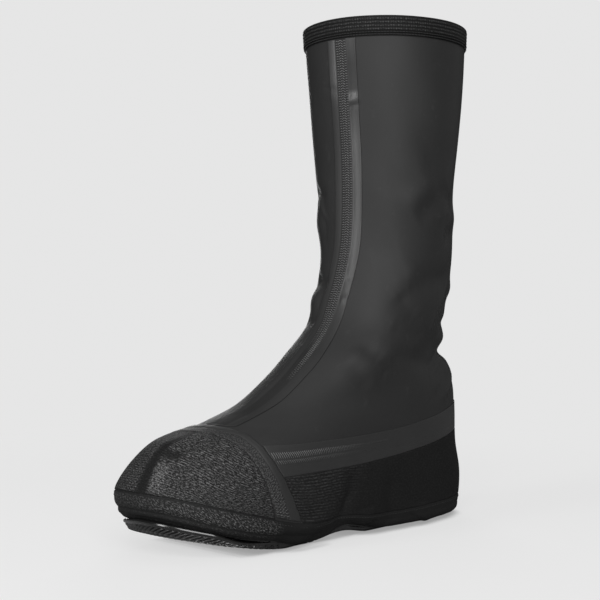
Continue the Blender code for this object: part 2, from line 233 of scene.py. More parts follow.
@dataclass(frozen=True)
class Form:
    """The foot and leg form that every fabric piece follows."""

    folds: tuple[Fold, ...]
    mid_length: float = 154.4
    side_shift: float = 0.9
    arch_at: float = 0.53
    arch_spread: float = 0.10
    ring_step: float = 0.02
    angle_step: float = 0.3
    fold_samples: int = 64
    ripple: float = 0.25

    def ring_at(self, v: Array) -> Ring:
        """The ring's columns at real-valued rings, smooth between the rows.

        Args:
            v: Rings, whole or between two.

        Returns:
            One ring that holds an array for each column.
        """
        table = np.array(RINGS, float)
        at = np.clip(v, 0, TOP)
        low = np.minimum(at.astype(int), len(RINGS) - 2)
        f = (at - low)[..., None]
        slope = np.gradient(table, axis=0)
        start = (2 * f**3 - 3 * f**2 + 1) * table[low] + (f**3 - 2 * f**2 + f) * slope[low]
        end = (3 * f**2 - 2 * f**3) * table[low + 1] + (f**3 - f**2) * slope[low + 1]
        return Ring(*np.moveaxis(start + end, -1, 0))

    @staticmethod
    def half_width(q: Array, heel: Array, waist: Array, ball: Array, toe: Array) -> Array:
        """Cubic through four half widths, a third of the length apart.

        Args:
            q: Share of the length, from 0 at the back to 1 at the front.
            heel: Half width at the back.
            waist: Half width a third of the way along.
            ball: Half width two thirds of the way along.
            toe: Half width at the front.

        Returns:
            The half width at each share.
        """
        value = -4.5 * (q - 1 / 3) * (q - 2 / 3) * (q - 1) * heel
        value = value + 13.5 * q * (q - 2 / 3) * (q - 1) * waist
        value = value - 13.5 * q * (q - 1 / 3) * (q - 1) * ball
        return value + 4.5 * q * (q - 1 / 3) * (q - 2 / 3) * toe

    def point(self, angle: Number, v: Number) -> Array:
        """Points of the plain form, without folds.

        Args:
            angle: Angles round the rings, in degrees.
            v: Rings, whole or between two.

        Returns:
            The points, in millimetres.
        """
        turn, v = np.broadcast_arrays(np.radians(angle), np.asarray(v, float))
        ring = self.ring_at(v)
        q = (1 - np.cos(turn)) / 2
        side = np.sin(turn)
        forward = ring.back + q * (ring.front - ring.back)
        arch = ring.arch * np.exp(-(((q - self.arch_at) / self.arch_spread) ** 2))
        height = ring.back_up + q**ring.late * (ring.front_up - ring.back_up) + arch
        outer = self.half_width(q, ring.out_heel, ring.out_waist, ring.out_ball, ring.out_toe)
        inner = self.half_width(q, ring.in_heel, ring.in_waist, ring.in_ball, ring.in_toe)
        across = self.side_shift + side * np.where(side >= 0, outer, inner)
        return np.stack([across, self.mid_length - forward, height], -1)

    def normal(self, angle: Number, v: Number) -> Array:
        """Normals of the form, pointing out of the overshoe.

        Args:
            angle: Angles round the rings, in degrees.
            v: Rings, whole or between two.

        Returns:
            Vectors of length one.
        """
        angle, v = np.broadcast_arrays(np.asarray(angle, float), np.asarray(v, float))
        high, low = np.minimum(v + self.ring_step, TOP), np.maximum(v - self.ring_step, 0)
        up = self.point(angle, high) - self.point(angle, low)
        across = self.point(angle + self.angle_step, v) - self.point(angle - self.angle_step, v)
        return unit(np.cross(up, across))

    def crease(self, points: Array) -> Array:
        """How far the folds and the fabric's slight ripple move points of the plain form.

        Args:
            points: The points.

        Returns:
            The distance of each along its normal, out of the form.
        """
        flat = points.reshape(-1, 3)
        x, y, z = flat.T
        moved = self.ripple * np.sin(x / 9.0 + y / 14.0 + 1.0) * np.sin(z / 13.0 + y / 23.0)
        t = np.linspace(0, 1, self.fold_samples)
        taper = np.minimum(1, 5.5 * t * (1 - t))
        for fold in self.folds:
            angle = fold.start_angle + t * (fold.end_angle - fold.start_angle)
            line = self.point(angle, fold.start_ring + t * (fold.end_ring - fold.start_ring))
            reach = 2.6 * fold.half_width
            near = np.all((flat > line.min(0) - reach) & (flat < line.max(0) + reach), axis=1)
            gap = np.linalg.norm(flat[near, None] - line[None], axis=-1)
            nearest = gap.argmin(1)
            share = np.exp(-((gap.min(1) / fold.half_width) ** fold.flatness))
            moved[near] += fold.rise * share * taper[nearest]
        return moved.reshape(points.shape[:-1])

    def skin(self, angle: Number, v: Number, lift: Number) -> Array:
        """Points of the creased form moved out of it by a distance."""
        base = self.point(angle, v)
        return base + (lift + self.crease(base))[..., None] * self.normal(angle, v)


class Draft:
    """A mesh in the making: points, four-cornered faces, how the cloth lies, and face materials."""

    def __init__(self) -> None:
        """Starts empty."""
        self.points: list[Array] = []
        self.faces: list[Array] = []
        self.lies: list[Array] = []
        self.slots: list[Array] = []
        self.tones: list[Array] = []
        self.count = 0

    def add(self, points: Array, tone: Number = 0.0) -> int:
        """Adds points.

        Args:
            points: A list or a grid of points.
            tone: One value for each point, or one for all.

        Returns:
            The index of the first.
        """
        start = self.count
        flat = points.reshape(-1, 3)
        self.points.append(flat)
        self.tones.append(np.broadcast_to(np.asarray(tone, float).reshape(-1), (len(flat),)))
        self.count += len(flat)
        return start

    def face(self, corners: Array, lies: Array, slot: int = 0) -> None:
        """Adds faces.

        Args:
            corners: Four point indices for each face.
            lies: Four cloth positions for each face.
            slot: Their material slot.
        """
        self.faces.append(corners.reshape(-1, 4))
        self.lies.append(lies.reshape(-1, 4, 2))
        self.slots.append(np.full(len(self.faces[-1]), slot))

    def grid(
        self,
        points: Array,
        lie: Array,
        tone: Number = 0.0,
        round_rows: bool = False,
        round_columns: bool = False,
        flip: bool = False,
        slots: Sequence[int] | None = None,
    ) -> int:
        """Adds a grid of points.

        Args:
            points: Rows of columns of points.
            lie: Cloth positions, with a spare row or column where the grid closes on itself.
            tone: One value for each point, or one for all.
            round_rows: Whether the last row joins the first.
            round_columns: Whether the last column joins the first.
            flip: Whether the faces look the other way.
            slots: Material slot of each row of faces.

        Returns:
            The index of the grid's first point.
        """
        rows, columns = points.shape[:2]
        start = self.add(points, tone)
        i, j = np.meshgrid(
            np.arange(rows if round_rows else rows - 1),
            np.arange(columns if round_columns else columns - 1),
            indexing="ij",
        )
        steps = [(0, 0), (1, 0), (1, 1), (0, 1)]
        steps = steps[::-1] if flip else steps
        corners = [start + (i + a) % rows * columns + (j + b) % columns for a, b in steps]
        lies = [lie[i + a, j + b] for a, b in steps]
        corner_grid, lie_grid = np.stack(corners, -1), np.stack(lies, -2)
        for row in range(len(i)) if slots is not None else ():
            self.face(corner_grid[row], lie_grid[row], slots[row])
        if slots is None:
            self.face(corner_grid, lie_grid)
        return start

    def slab(
        self, top: Array, bottom: Array, lie: Array, tone: Number, closed: bool, flip: bool
    ) -> None:
        """Adds a sheet with a top, a bottom and edges.

        Args:
            top: Rows of columns of points on the outer side.
            bottom: The same on the inner side.
            lie: Cloth positions, with a spare column where the sheet closes on itself.
            tone: One value for each point.
            closed: Whether the last column joins the first.
            flip: Whether rows and columns run so that faces look inwards.
        """
        rows, columns = top.shape[:2]
        over = self.grid(top, lie, tone, round_columns=closed, flip=flip)
        under = self.grid(bottom, lie, tone, round_columns=closed, flip=not flip)
        index = np.arange(rows * columns).reshape(rows, columns)
        around = np.concatenate([index, index[:, :1]], axis=1) if closed else index
        borders = [(around[0], lie[0], False), (around[-1], lie[-1], True)]
        if not closed:
            borders += [(index[:, 0], lie[:, 0], True), (index[:, -1], lie[:, -1], False)]
        for line, cloth, turned in borders:
            near, far = line[:-1], line[1:]
            quads = np.stack([over + near, over + far, under + far, under + near], -1)
            lies = np.stack([cloth[:-1], cloth[1:], cloth[1:], cloth[:-1]], 1)
            if turned != flip:
                quads, lies = quads[:, ::-1], lies[:, ::-1]
            self.face(quads, lies)

    def threads(
        self, paths: Array, ups: Array, radius: float, fade: Number = 0.0, sides: int = 6
    ) -> None:
        """Adds round threads.

        Args:
            paths: For each thread, the points along its middle.
            ups: For each thread, a direction that points away from the cloth.
            radius: The thread's radius.
            fade: How far each thread has taken the cloth's colour.
            sides: Corners of its round section.
        """
        number, length = paths.shape[:2]
        tone = np.broadcast_to(np.asarray(fade, float), (number,))
        ahead = unit(np.gradient(paths, axis=1))
        side = unit(np.cross(ahead, ups[:, None]))
        up = np.cross(side, ahead)
        turn = np.arange(sides) * 2 * math.pi / sides
        ring = np.cos(turn)[:, None] * side[:, :, None] + np.sin(turn)[:, None] * up[:, :, None]
        start = self.add(paths[:, :, None] + radius * ring, np.repeat(tone, length * sides))
        i, j = np.meshgrid(np.arange(length - 1), np.arange(sides), indexing="ij")
        k = (j + 1) % sides
        tube = np.stack([i * sides + j, (i + 1) * sides + j, (i + 1) * sides + k, i * sides + k], -1)
        end = (length - 1) * sides
        caps = [(0, 1 + 2 * m, 2 + 2 * m, 3 + 2 * m) for m in range((sides - 2) // 2)]
        closing = caps + [tuple(end + c for c in cap[::-1]) for cap in caps]
        faces = np.concatenate([tube.reshape(-1, 4), np.array(closing)])
        offsets = start + np.arange(number) * length * sides
        lie = np.stack([faces // sides * 1.0, faces % sides * 1.0], -1)
        every = faces[None] + offsets[:, None, None]
        self.face(every, np.broadcast_to(lie[None], (*every.shape, 2)))

    def make(self, name: str, finishes: Sequence[bpy.types.Material]) -> bpy.types.Object:
        """Turns the draft into a smooth object.

        Args:
            name: The piece's name.
            finishes: One material for each slot.

        Returns:
            The new object.
        """
        points = np.concatenate(self.points) * MM
        mesh = bpy.data.meshes.new(name)
        mesh.from_pydata(points.tolist(), [], np.concatenate(self.faces).tolist())
        lie = mesh.uv_layers.new(name="lie")
        lie.data.foreach_set("uv", np.concatenate(self.lies).astype(np.float32).ravel())
        tone = mesh.attributes.new("tone", "FLOAT", "POINT")
        tone.data.foreach_set("value", np.concatenate(self.tones).astype(np.float32))
        mesh.polygons.foreach_set("material_index", np.concatenate(self.slots).astype(np.int32))
        mesh.polygons.foreach_set("use_smooth", np.ones(len(mesh.polygons), bool))
        for finish in finishes:
            mesh.materials.append(finish)
        mesh.update()
        made = bpy.data.objects.new(name, mesh)
        bpy.context.scene.collection.objects.link(made)
        return made


class Value:
    """A shader socket that Python expressions work on."""

    def __init__(self, net: "Net", socket: Any) -> None:
        """Wraps a socket of a node tree."""
        self.net = net
        self.socket = socket

    def maths(self, operation: str, *others: Any) -> "Value":
        """A Math node on this value and others."""
        sockets = dict(enumerate((self, *others)))
        return self.net.value("ShaderNodeMath", {"operation": operation}, sockets)

    def turned(self, operation: str, first: float) -> "Value":
        """A Math node with a number first and this value second."""
        return self.net.value("ShaderNodeMath", {"operation": operation}, {0: first, 1: self})

    def __add__(self, other: Any) -> "Value":
        """Sum."""
        return self.maths("ADD", other)

    def __radd__(self, other: float) -> "Value":
        """Sum with a number first."""
        return self.maths("ADD", other)

    def __sub__(self, other: Any) -> "Value":
        """Difference."""
        return self.maths("SUBTRACT", other)

    def __rsub__(self, other: float) -> "Value":
        """Difference with a number first."""
        return self.turned("SUBTRACT", other)

    def __mul__(self, other: Any) -> "Value":
        """Product."""
        return self.maths("MULTIPLY", other)

    def __rmul__(self, other: float) -> "Value":
        """Product with a number first."""
        return self.maths("MULTIPLY", other)

    def sine(self) -> "Value":
        """Sine of an angle in radians."""
        return self.maths("SINE")

    def ramp(self, start: float, end: float) -> "Value":
        """A smooth ramp from 0 at the start to 1 at the end."""
        sockets = {0: self, 1: start, 2: end, 3: 0.0, 4: 1.0}
        return self.net.value("ShaderNodeMapRange", {"interpolation_type": "SMOOTHSTEP"}, sockets)


class Net:
    """The node tree of one material, or of the world."""

    def __init__(self, holder: bpy.types.Material | bpy.types.World) -> None:
        """Empties the tree.

        Args:
            holder: The material or the world that the tree belongs to.
        """
        holder.use_nodes = True
        self.holder = holder
        self.tree = holder.node_tree
        self.tree.nodes.clear()

    def node(self, kind: str, settings: dict[str, Any], sockets: dict[Any, Any]) -> Any:
        """Adds a node.

        Args:
            kind: The node's type.
            settings: Its properties.
            sockets: Values or links of its inputs, by name or number.

        Returns:
            The node.
        """
        made = self.tree.nodes.new(kind)
        for key, setting in settings.items():
            setattr(made, key, setting)
        for key, given in sockets.items():
            if isinstance(given, Value):
                self.tree.links.new(given.socket, made.inputs[key])
            else:
                made.inputs[key].default_value = given
        return made

    def value(
        self, kind: str, settings: dict[str, Any], sockets: dict[Any, Any], output: Any = 0
    ) -> Value:
        """Adds a node and returns one of its outputs."""
        return Value(self, self.node(kind, settings, sockets).outputs[output])

    def lie(self, along: float = 1.0, across: float = 1.0, turn: float = 0.0) -> Value:
        """How the cloth lies, counted in steps.

        Args:
            along: Millimetres to a step along.
            across: Millimetres to a step across.
            turn: Degrees that the steps are turned by.

        Returns:
            The place on the cloth.
        """
        flat = self.value("ShaderNodeUVMap", {"uv_map": "lie"}, {})
        sockets = {0: flat, 2: (0.0, 0.0, math.radians(turn)), 3: (along, across, 1.0)}
        return self.value("ShaderNodeMapping", {"vector_type": "TEXTURE"}, sockets)

    def part(self, vector: Value, axis: str) -> Value:
        """One coordinate of a vector."""
        return self.value("ShaderNodeSeparateXYZ", {}, {0: vector}, axis)

    def place(self) -> Value:
        """Position on the object, in metres."""
        return self.value("ShaderNodeTexCoord", {}, {}, "Object")

    def tone(self) -> Value:
        """The value that a mesh holds for each point."""
        return self.value("ShaderNodeAttribute", {"attribute_name": "tone"}, {}, "Fac")

    def noise(self, vector: Value, scale: float, detail: float = 2.0) -> Value:
        """Soft noise from 0 to 1."""
        return self.value("ShaderNodeTexNoise", {}, {"Vector": vector, "Scale": scale, "Detail": detail})

    def blend(self, share: Any, first: Any, second: Any) -> Value:
        """A colour between two."""
        settings = {"data_type": "RGBA"}
        return self.value("ShaderNodeMix", settings, {0: share, 6: first, 7: second}, 2)

    def bump(self, height: Value, depth: float, strength: float = 1.0) -> Value:
        """A surface normal tilted by a height that is worth a depth in millimetres."""
        sockets = {"Height": height, "Distance": depth * MM, "Strength": strength}
        return self.value("ShaderNodeBump", {}, sockets)

    def finish(self, sockets: dict[str, Any]) -> bpy.types.Material:
        """Closes the tree with a Principled surface.

        Args:
            sockets: Values or links of the surface's inputs, by name.

        Returns:
            The material.
        """
        surface = self.value("ShaderNodeBsdfPrincipled", {}, sockets)
        self.node("ShaderNodeOutputMaterial", {}, {"Surface": surface})
        return self.holder


def grey(tone: float) -> tuple[float, float, float, float]:
    """A neutral colour."""
    return (tone, tone, tone, 1.0)


@dataclass(frozen=True)
class CoatedFabric:
    """Smooth windproof cloth with a soft sheen and faint wear."""

    name: str = "coated_fabric"
    dark: float = 0.0250
    light: float = 0.0345
    roughness: float = 0.58

    def make(self) -> bpy.types.Material:
        """Builds the finish.

        Returns:
            The new material.
        """
        net = Net(bpy.data.materials.new(self.name))
        place = net.place()
        cloud = net.noise(place, 22.0, 3.0)
        grain = net.noise(place, 1500.0, 2.0)
        brushed = net.noise(net.lie(1.6, 26.0), 1.0, 3.0)
        scuff = net.noise(place, 140.0, 4.0).ramp(0.60, 0.78)
        colour = net.blend(cloud * 0.6 + brushed * 0.4, grey(self.dark), grey(self.light))
        return net.finish({
            "Base Color": net.blend(scuff * 0.2, colour, grey(2.0 * self.light)),
            "Roughness": self.roughness + 0.10 * (brushed - 0.5) + 0.08 * scuff,
            "Normal": net.bump(grain * 0.4 + cloud * 0.4 + brushed * 0.2, 0.10, 0.5),
            "Specular IOR Level": 0.24,
        })


@dataclass(frozen=True)
class TapeFilm:
    """Bonded tape: smoother and glossier than the cloth, with fine lines along it; darker and duller
    where its tone value is low, which on the front tape is painted shade.
    """

    name: str
    dark: float = 0.030
    light: float = 0.042
    roughness: float = 0.34
    coat: float = 0.25
    gloss: float = 0.45
    fleck: float = 0.0
    line_pitch: float = 1.6

    def make(self) -> bpy.types.Material:
        """Builds the finish.

        Returns:
            The new material.
        """
        net = Net(bpy.data.materials.new(self.name))
        across = net.part(net.lie(), "Y")
        cloud = net.noise(net.place(), 60.0, 3.0)
        lines = (across * (2 * math.pi / self.line_pitch)).sine() * 0.5 + 0.5
        streak = net.noise(net.lie(18.0, 0.9), 1.0, 2.0)
        tone = net.tone()
        # A low tone value darkens and dulls the film: painted shade on the front tape, the flecked strip
        # on the cap tape.
        dull_and_painted_shade = 1.0 - tone
        flecks = net.noise(net.lie(0.8, 1.9, -25.0), 1.0, 2.0).ramp(0.46, 0.62)
        film = net.blend(streak * 0.6 + cloud * 0.4, grey(self.dark), grey(self.light))
        return net.finish({
            "Base Color": net.blend(
                flecks * dull_and_painted_shade * self.fleck,
                net.blend(dull_and_painted_shade, film, grey(0.25 * self.dark)),
                grey(3.0 * self.light),
            ),
            "Roughness": self.roughness + 0.30 * dull_and_painted_shade + 0.14 * (streak - 0.5) + 0.04 * lines,
            "Normal": net.bump(lines * 0.15 + cloud, 0.12, 0.4),
            "Specular IOR Level": self.gloss,
            "Coat Weight": self.coat * tone,
            "Coat Roughness": 0.25,
        })


@dataclass(frozen=True)
class FleckKnit:
    """Hard-wearing dark knit with pale flecks in slanting rows; its tone value sets how many."""

    name: str = "fleck_knit"
    dark: float = 0.005
    light: float = 0.21
    row: float = 1.8
    fleck: float = 2.4
    slant: float = 3.0

    def make(self) -> bpy.types.Material:
        """Builds the finish.

        Returns:
            The new material.
        """
        net = Net(bpy.data.materials.new(self.name))
        rows = (net.part(net.lie(1.0, self.row, self.slant), "Y") * (2 * math.pi)).sine() * 0.5 + 0.5
        dashes = net.noise(net.lie(self.fleck, 0.4 * self.row, self.slant), 1.0, 2.0).ramp(0.46, 0.60)
        slashes = net.noise(net.lie(0.6 * self.fleck, 0.4 * self.row, self.slant + 40.0), 1.0, 2.0)
        dots = net.noise(net.lie(1.0, 0.8), 1.0, 2.0).ramp(0.46, 0.66)
        cover = net.noise(net.lie(9.0, 9.0), 1.0, 2.0)
        tone = net.tone()
        rowed = (dashes * (0.15 + 0.85 * rows) + slashes.ramp(0.52, 0.68) * 0.6) * (0.4 + cover)
        share = rowed * tone.ramp(0.0, 0.5) * 0.7 + dots * (0.05 + 0.5 * tone.ramp(0.5, 1.0))
        return net.finish({
            "Base Color": net.blend(share, grey(self.dark), grey(self.light)),
            "Roughness": 0.82 - 0.15 * rowed,
            "Normal": net.bump(rowed * 0.6 + rows * 0.4, 0.40, 0.9),
            "Specular IOR Level": 0.25,
        })


@dataclass(frozen=True)
class RibKnit:
    """Black rib knit; its tone value says how clearly the ribs show."""

    name: str = "rib_knit"
    dark: float = 0.005
    light: float = 0.055
    pitch: float = 2.2

    def make(self) -> bpy.types.Material:
        """Builds the finish.

        Returns:
            The new material.
        """
        net = Net(bpy.data.materials.new(self.name))
        wave = net.noise(net.lie(24.0, 12.0), 1.0, 2.0)
        across = net.part(net.lie(), "Y") + wave * 2.0
        ribs = (across * (2 * math.pi / self.pitch)).sine() * 0.5 + 0.5
        loops = net.noise(net.lie(1.9, 1.2), 1.0, 3.0)
        cloud = net.noise(net.lie(20.0, 16.0), 1.0, 3.0)
        clear = net.tone()
        plain = loops.ramp(0.40, 0.75) * 0.16 + cloud * 0.10
        return net.finish({
            "Base Color": net.blend(
                clear * ribs * loops.ramp(0.30, 0.70) * (0.3 + cloud) + plain,
                grey(self.dark),
                grey(self.light),
            ),
            "Roughness": 0.85 - 0.12 * ribs * clear,
            "Normal": net.bump(ribs * clear * 0.8 + loops * 0.4, 0.35, 0.8),
            "Specular IOR Level": 0.25,
        })


@dataclass(frozen=True)
class RibbedElastic:
    """Woven elastic with raised rows of small knots, which its tone value marks."""

    name: str = "ribbed_elastic"
    dark: float = 0.005
    light: float = 0.085
    knot: float = 1.9

    def make(self) -> bpy.types.Material:
        """Builds the finish.

        Returns:
            The new material.
        """
        net = Net(bpy.data.materials.new(self.name))
        knots = (net.part(net.lie(), "X") * (2 * math.pi / self.knot)).sine() * 0.5 + 0.5
        fine = net.noise(net.lie(1.5, 1.0), 1.0, 3.0).ramp(0.35, 0.65)
        rows = net.tone()
        return net.finish({
            "Base Color": net.blend(
                rows * (0.15 + 0.85 * knots) * fine, grey(self.dark), grey(self.light)
            ),
            "Roughness": 0.74 - 0.1 * rows,
            "Normal": net.bump(rows * knots + fine * 0.3, 0.20, 0.8),
            "Specular IOR Level": 0.25,
        })


@dataclass(frozen=True)
class HemCloth:
    """The hem's cloth: flecked like the toe cap where its tone value is 1, plain black elsewhere."""

    name: str = "hem_cloth"
    dark: float = 0.005
    plain: float = 0.016
    light: float = 0.155

    def make(self) -> bpy.types.Material:
        """Builds the finish.

        Returns:
            The new material.
        """
        net = Net(bpy.data.materials.new(self.name))
        loops = net.noise(net.lie(2.0, 0.8, 30.0), 1.0, 2.0).ramp(0.44, 0.64)
        fine = net.noise(net.lie(1.1, 0.8), 1.0, 3.0)
        tone = net.tone()
        plain = net.blend(fine, grey(self.dark), grey(self.plain))
        flecks = loops * fine.ramp(0.35, 0.62)
        return net.finish({
            "Base Color": net.blend(flecks * tone, plain, grey(self.light)),
            "Roughness": 0.84 - 0.08 * fine,
            "Normal": net.bump(loops * tone * 0.6 + fine * 0.6, 0.35, 0.8),
            "Specular IOR Level": 0.28,
        })


@dataclass(frozen=True)
class Rubber:
    """Moulded black rubber, slightly glossy, dusty in patches, matt and lighter with painted light where
    its tone value is 1.
    """

    name: str = "rubber"
    dark: float = 0.006
    light: float = 0.014
    matt_and_painted_light: float = 0.050
    roughness: float = 0.22

    def make(self) -> bpy.types.Material:
        """Builds the finish.

        Returns:
            The new material.
        """
        net = Net(bpy.data.materials.new(self.name))
        place = net.place()
        dust = net.noise(place, 70.0, 4.0)
        grain = net.noise(place, 1800.0, 2.0)
        # The tone value paints light onto the crests of the toe ribs, which are also matt.
        return net.finish({
            "Base Color": net.blend(
                net.tone(),
                net.blend(dust.ramp(0.4, 0.8), grey(self.dark), grey(self.light)),
                grey(self.matt_and_painted_light),
            ),
            "Roughness": self.roughness + 0.22 * (dust - 0.4) + 0.2 * net.tone(),
            "Normal": net.bump(grain, 0.05, 0.3),
            "Specular IOR Level": 0.8,
            "Coat Weight": 0.6 - 0.4 * net.tone(),
            "Coat Roughness": 0.10,
        })


@dataclass(frozen=True)
class SewingThread:
    """Twisted sewing thread, which takes the cloth's colour where its tone value is 1."""

    name: str
    dark: float = 0.030
    light: float = 0.085
    cloth: float = 0.030

    def make(self) -> bpy.types.Material:
        """Builds the finish.

        Returns:
            The new material.
        """
        net = Net(bpy.data.materials.new(self.name))
        lie = net.lie()
        twist = ((net.part(lie, "X") * 2.5 + net.part(lie, "Y") * 1.05) * 2.0).sine() * 0.5 + 0.5
        patch = net.noise(net.place(), 260.0, 2.0)
        return net.finish({
            "Base Color": net.blend(
                net.tone(),
                net.blend(twist * 0.5 + patch * 0.5, grey(self.dark), grey(self.light)),
                grey(self.cloth),
            ),
            "Roughness": 0.55 + 0.1 * patch,
            "Normal": net.bump(twist, 0.08, 0.6),
        })


@dataclass(frozen=True)
class BrushedLining:
    """The soft inside of the cloth."""

    name: str = "brushed_lining"
    dark: float = 0.010
    light: float = 0.026

    def make(self) -> bpy.types.Material:
        """Builds the finish.

        Returns:
            The new material.
        """
        net = Net(bpy.data.materials.new(self.name))
        nap = net.noise(net.lie(1.3, 2.0), 1.0, 4.0)
        cloud = net.noise(net.place(), 30.0, 3.0)
        return net.finish({
            "Base Color": net.blend(nap * 0.7 + cloud * 0.3, grey(self.dark), grey(self.light)),
            "Roughness": 0.88 - 0.1 * nap,
            "Normal": net.bump(nap, 0.3, 0.7),
            "Sheen Weight": 0.15,
        })


class Finish(Enum):
    """The overshoe's finishes."""

    CLOTH = CoatedFabric()
    LINING = BrushedLining()
    FRONT_TAPE = TapeFilm("front_tape_film", 0.038, 0.056, 0.36, 0.20, 0.50)
    PANEL_TAPE = TapeFilm("panel_tape_film", 0.029, 0.039, 0.50, 0.04, 0.34)
    CAP_TAPE = TapeFilm("cap_tape_film", 0.026, 0.036, 0.50, 0.03, 0.32, 1.0)
    TOE_KNIT = FleckKnit()
    RIB_KNIT = RibKnit()
    ELASTIC = RibbedElastic()
    HEM_CLOTH = HemCloth()
    RUBBER = Rubber()
    PALE_THREAD = SewingThread("pale_thread", 0.060, 0.200)
    DARK_THREAD = SewingThread("dark_thread", 0.012, 0.040)

    def material(self) -> bpy.types.Material:
        """The finish's material, made at its first use."""
        return bpy.data.materials.get(self.value.name) or self.value.make()


def settle(piece: bpy.types.Object, slot: str, *nodes: str) -> None:
    """Puts a piece on the part and reports it.

    Args:
        piece: The new object.
        slot: Not used.
        *nodes: The nodes that it replaces, if any.
    """
    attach(piece, "root")
    if nodes:
        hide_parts(*nodes)
    mesh = piece.data
    LOG.info("%s: %d points, %d faces", piece.name, len(mesh.vertices), len(mesh.polygons))


def paced(points: Array, axis: int) -> Array:
    """Distance travelled along one axis of a grid of points.

    Args:
        points: The grid.
        axis: The axis to go along.

    Returns:
        Millimetres from the axis's first point.
    """
    steps = np.linalg.norm(np.diff(points, axis=axis), axis=-1)
    start = np.zeros_like(np.take(steps, [0], axis=axis))
    return np.concatenate([start, np.cumsum(steps, axis=axis)], axis=axis)


@dataclass
class Upper:
    """The body: one hollow shell of coated cloth with a brushed inside."""

    form: Form
    columns: int = 256
    outer_rows: int = 290
    inner_rows: int = 60
    wall: float = 1.5

    def rows(self, count: int) -> Array:
        """Rings at about equal distances up the form.

        Args:
            count: How many.

        Returns:
            The rings, from the hem to the collar.
        """
        fine = np.linspace(0, TOP, 600)
        sample = self.form.point(np.arange(0, 360, 30.0)[None], fine[:, None])
        run = paced(sample, 0).mean(1)
        return np.interp(np.linspace(0, run[-1], count), run, fine)

    def build(self) -> bpy.types.Object:
        """Makes the shell.

        Returns:
            The new object.
        """
        angle = np.arange(self.columns) * 360.0 / self.columns
        out = self.rows(self.outer_rows)
        back = self.rows(self.inner_rows)[::-1]
        v = np.concatenate([out, back])
        lift = np.where(np.arange(len(v)) < len(out), 0.0, -self.wall)
        points = self.form.skin(angle[None], v[:, None], lift[:, None])
        lie = np.zeros((len(v) + 1, self.columns + 1, 2))
        lie[..., 0] = np.arange(self.columns + 1) * 420.0 / self.columns
        lie[:-1, :, 1] = v[:, None] * 35.0
        lie[-1] = lie[0]
        slots = [0] * (len(out) - 1) + [1] * (len(back) + 1)
        draft = Draft()
        draft.grid(points, lie, round_rows=True, round_columns=True, slots=slots)
        return draft.make("upper_shell", [Finish.CLOTH.material(), Finish.LINING.material()])

    def dress(self) -> None:
        """Places the shell on the part."""
        settle(self.build(), "upper", "upper")


class Lie(NamedTuple):
    """Where the points of a cover lie: shares of it, millimetres along and up it, place on the form."""

    along: Array
    across: Array
    run: Array
    climb: Array
    angle: Array
    v: Array


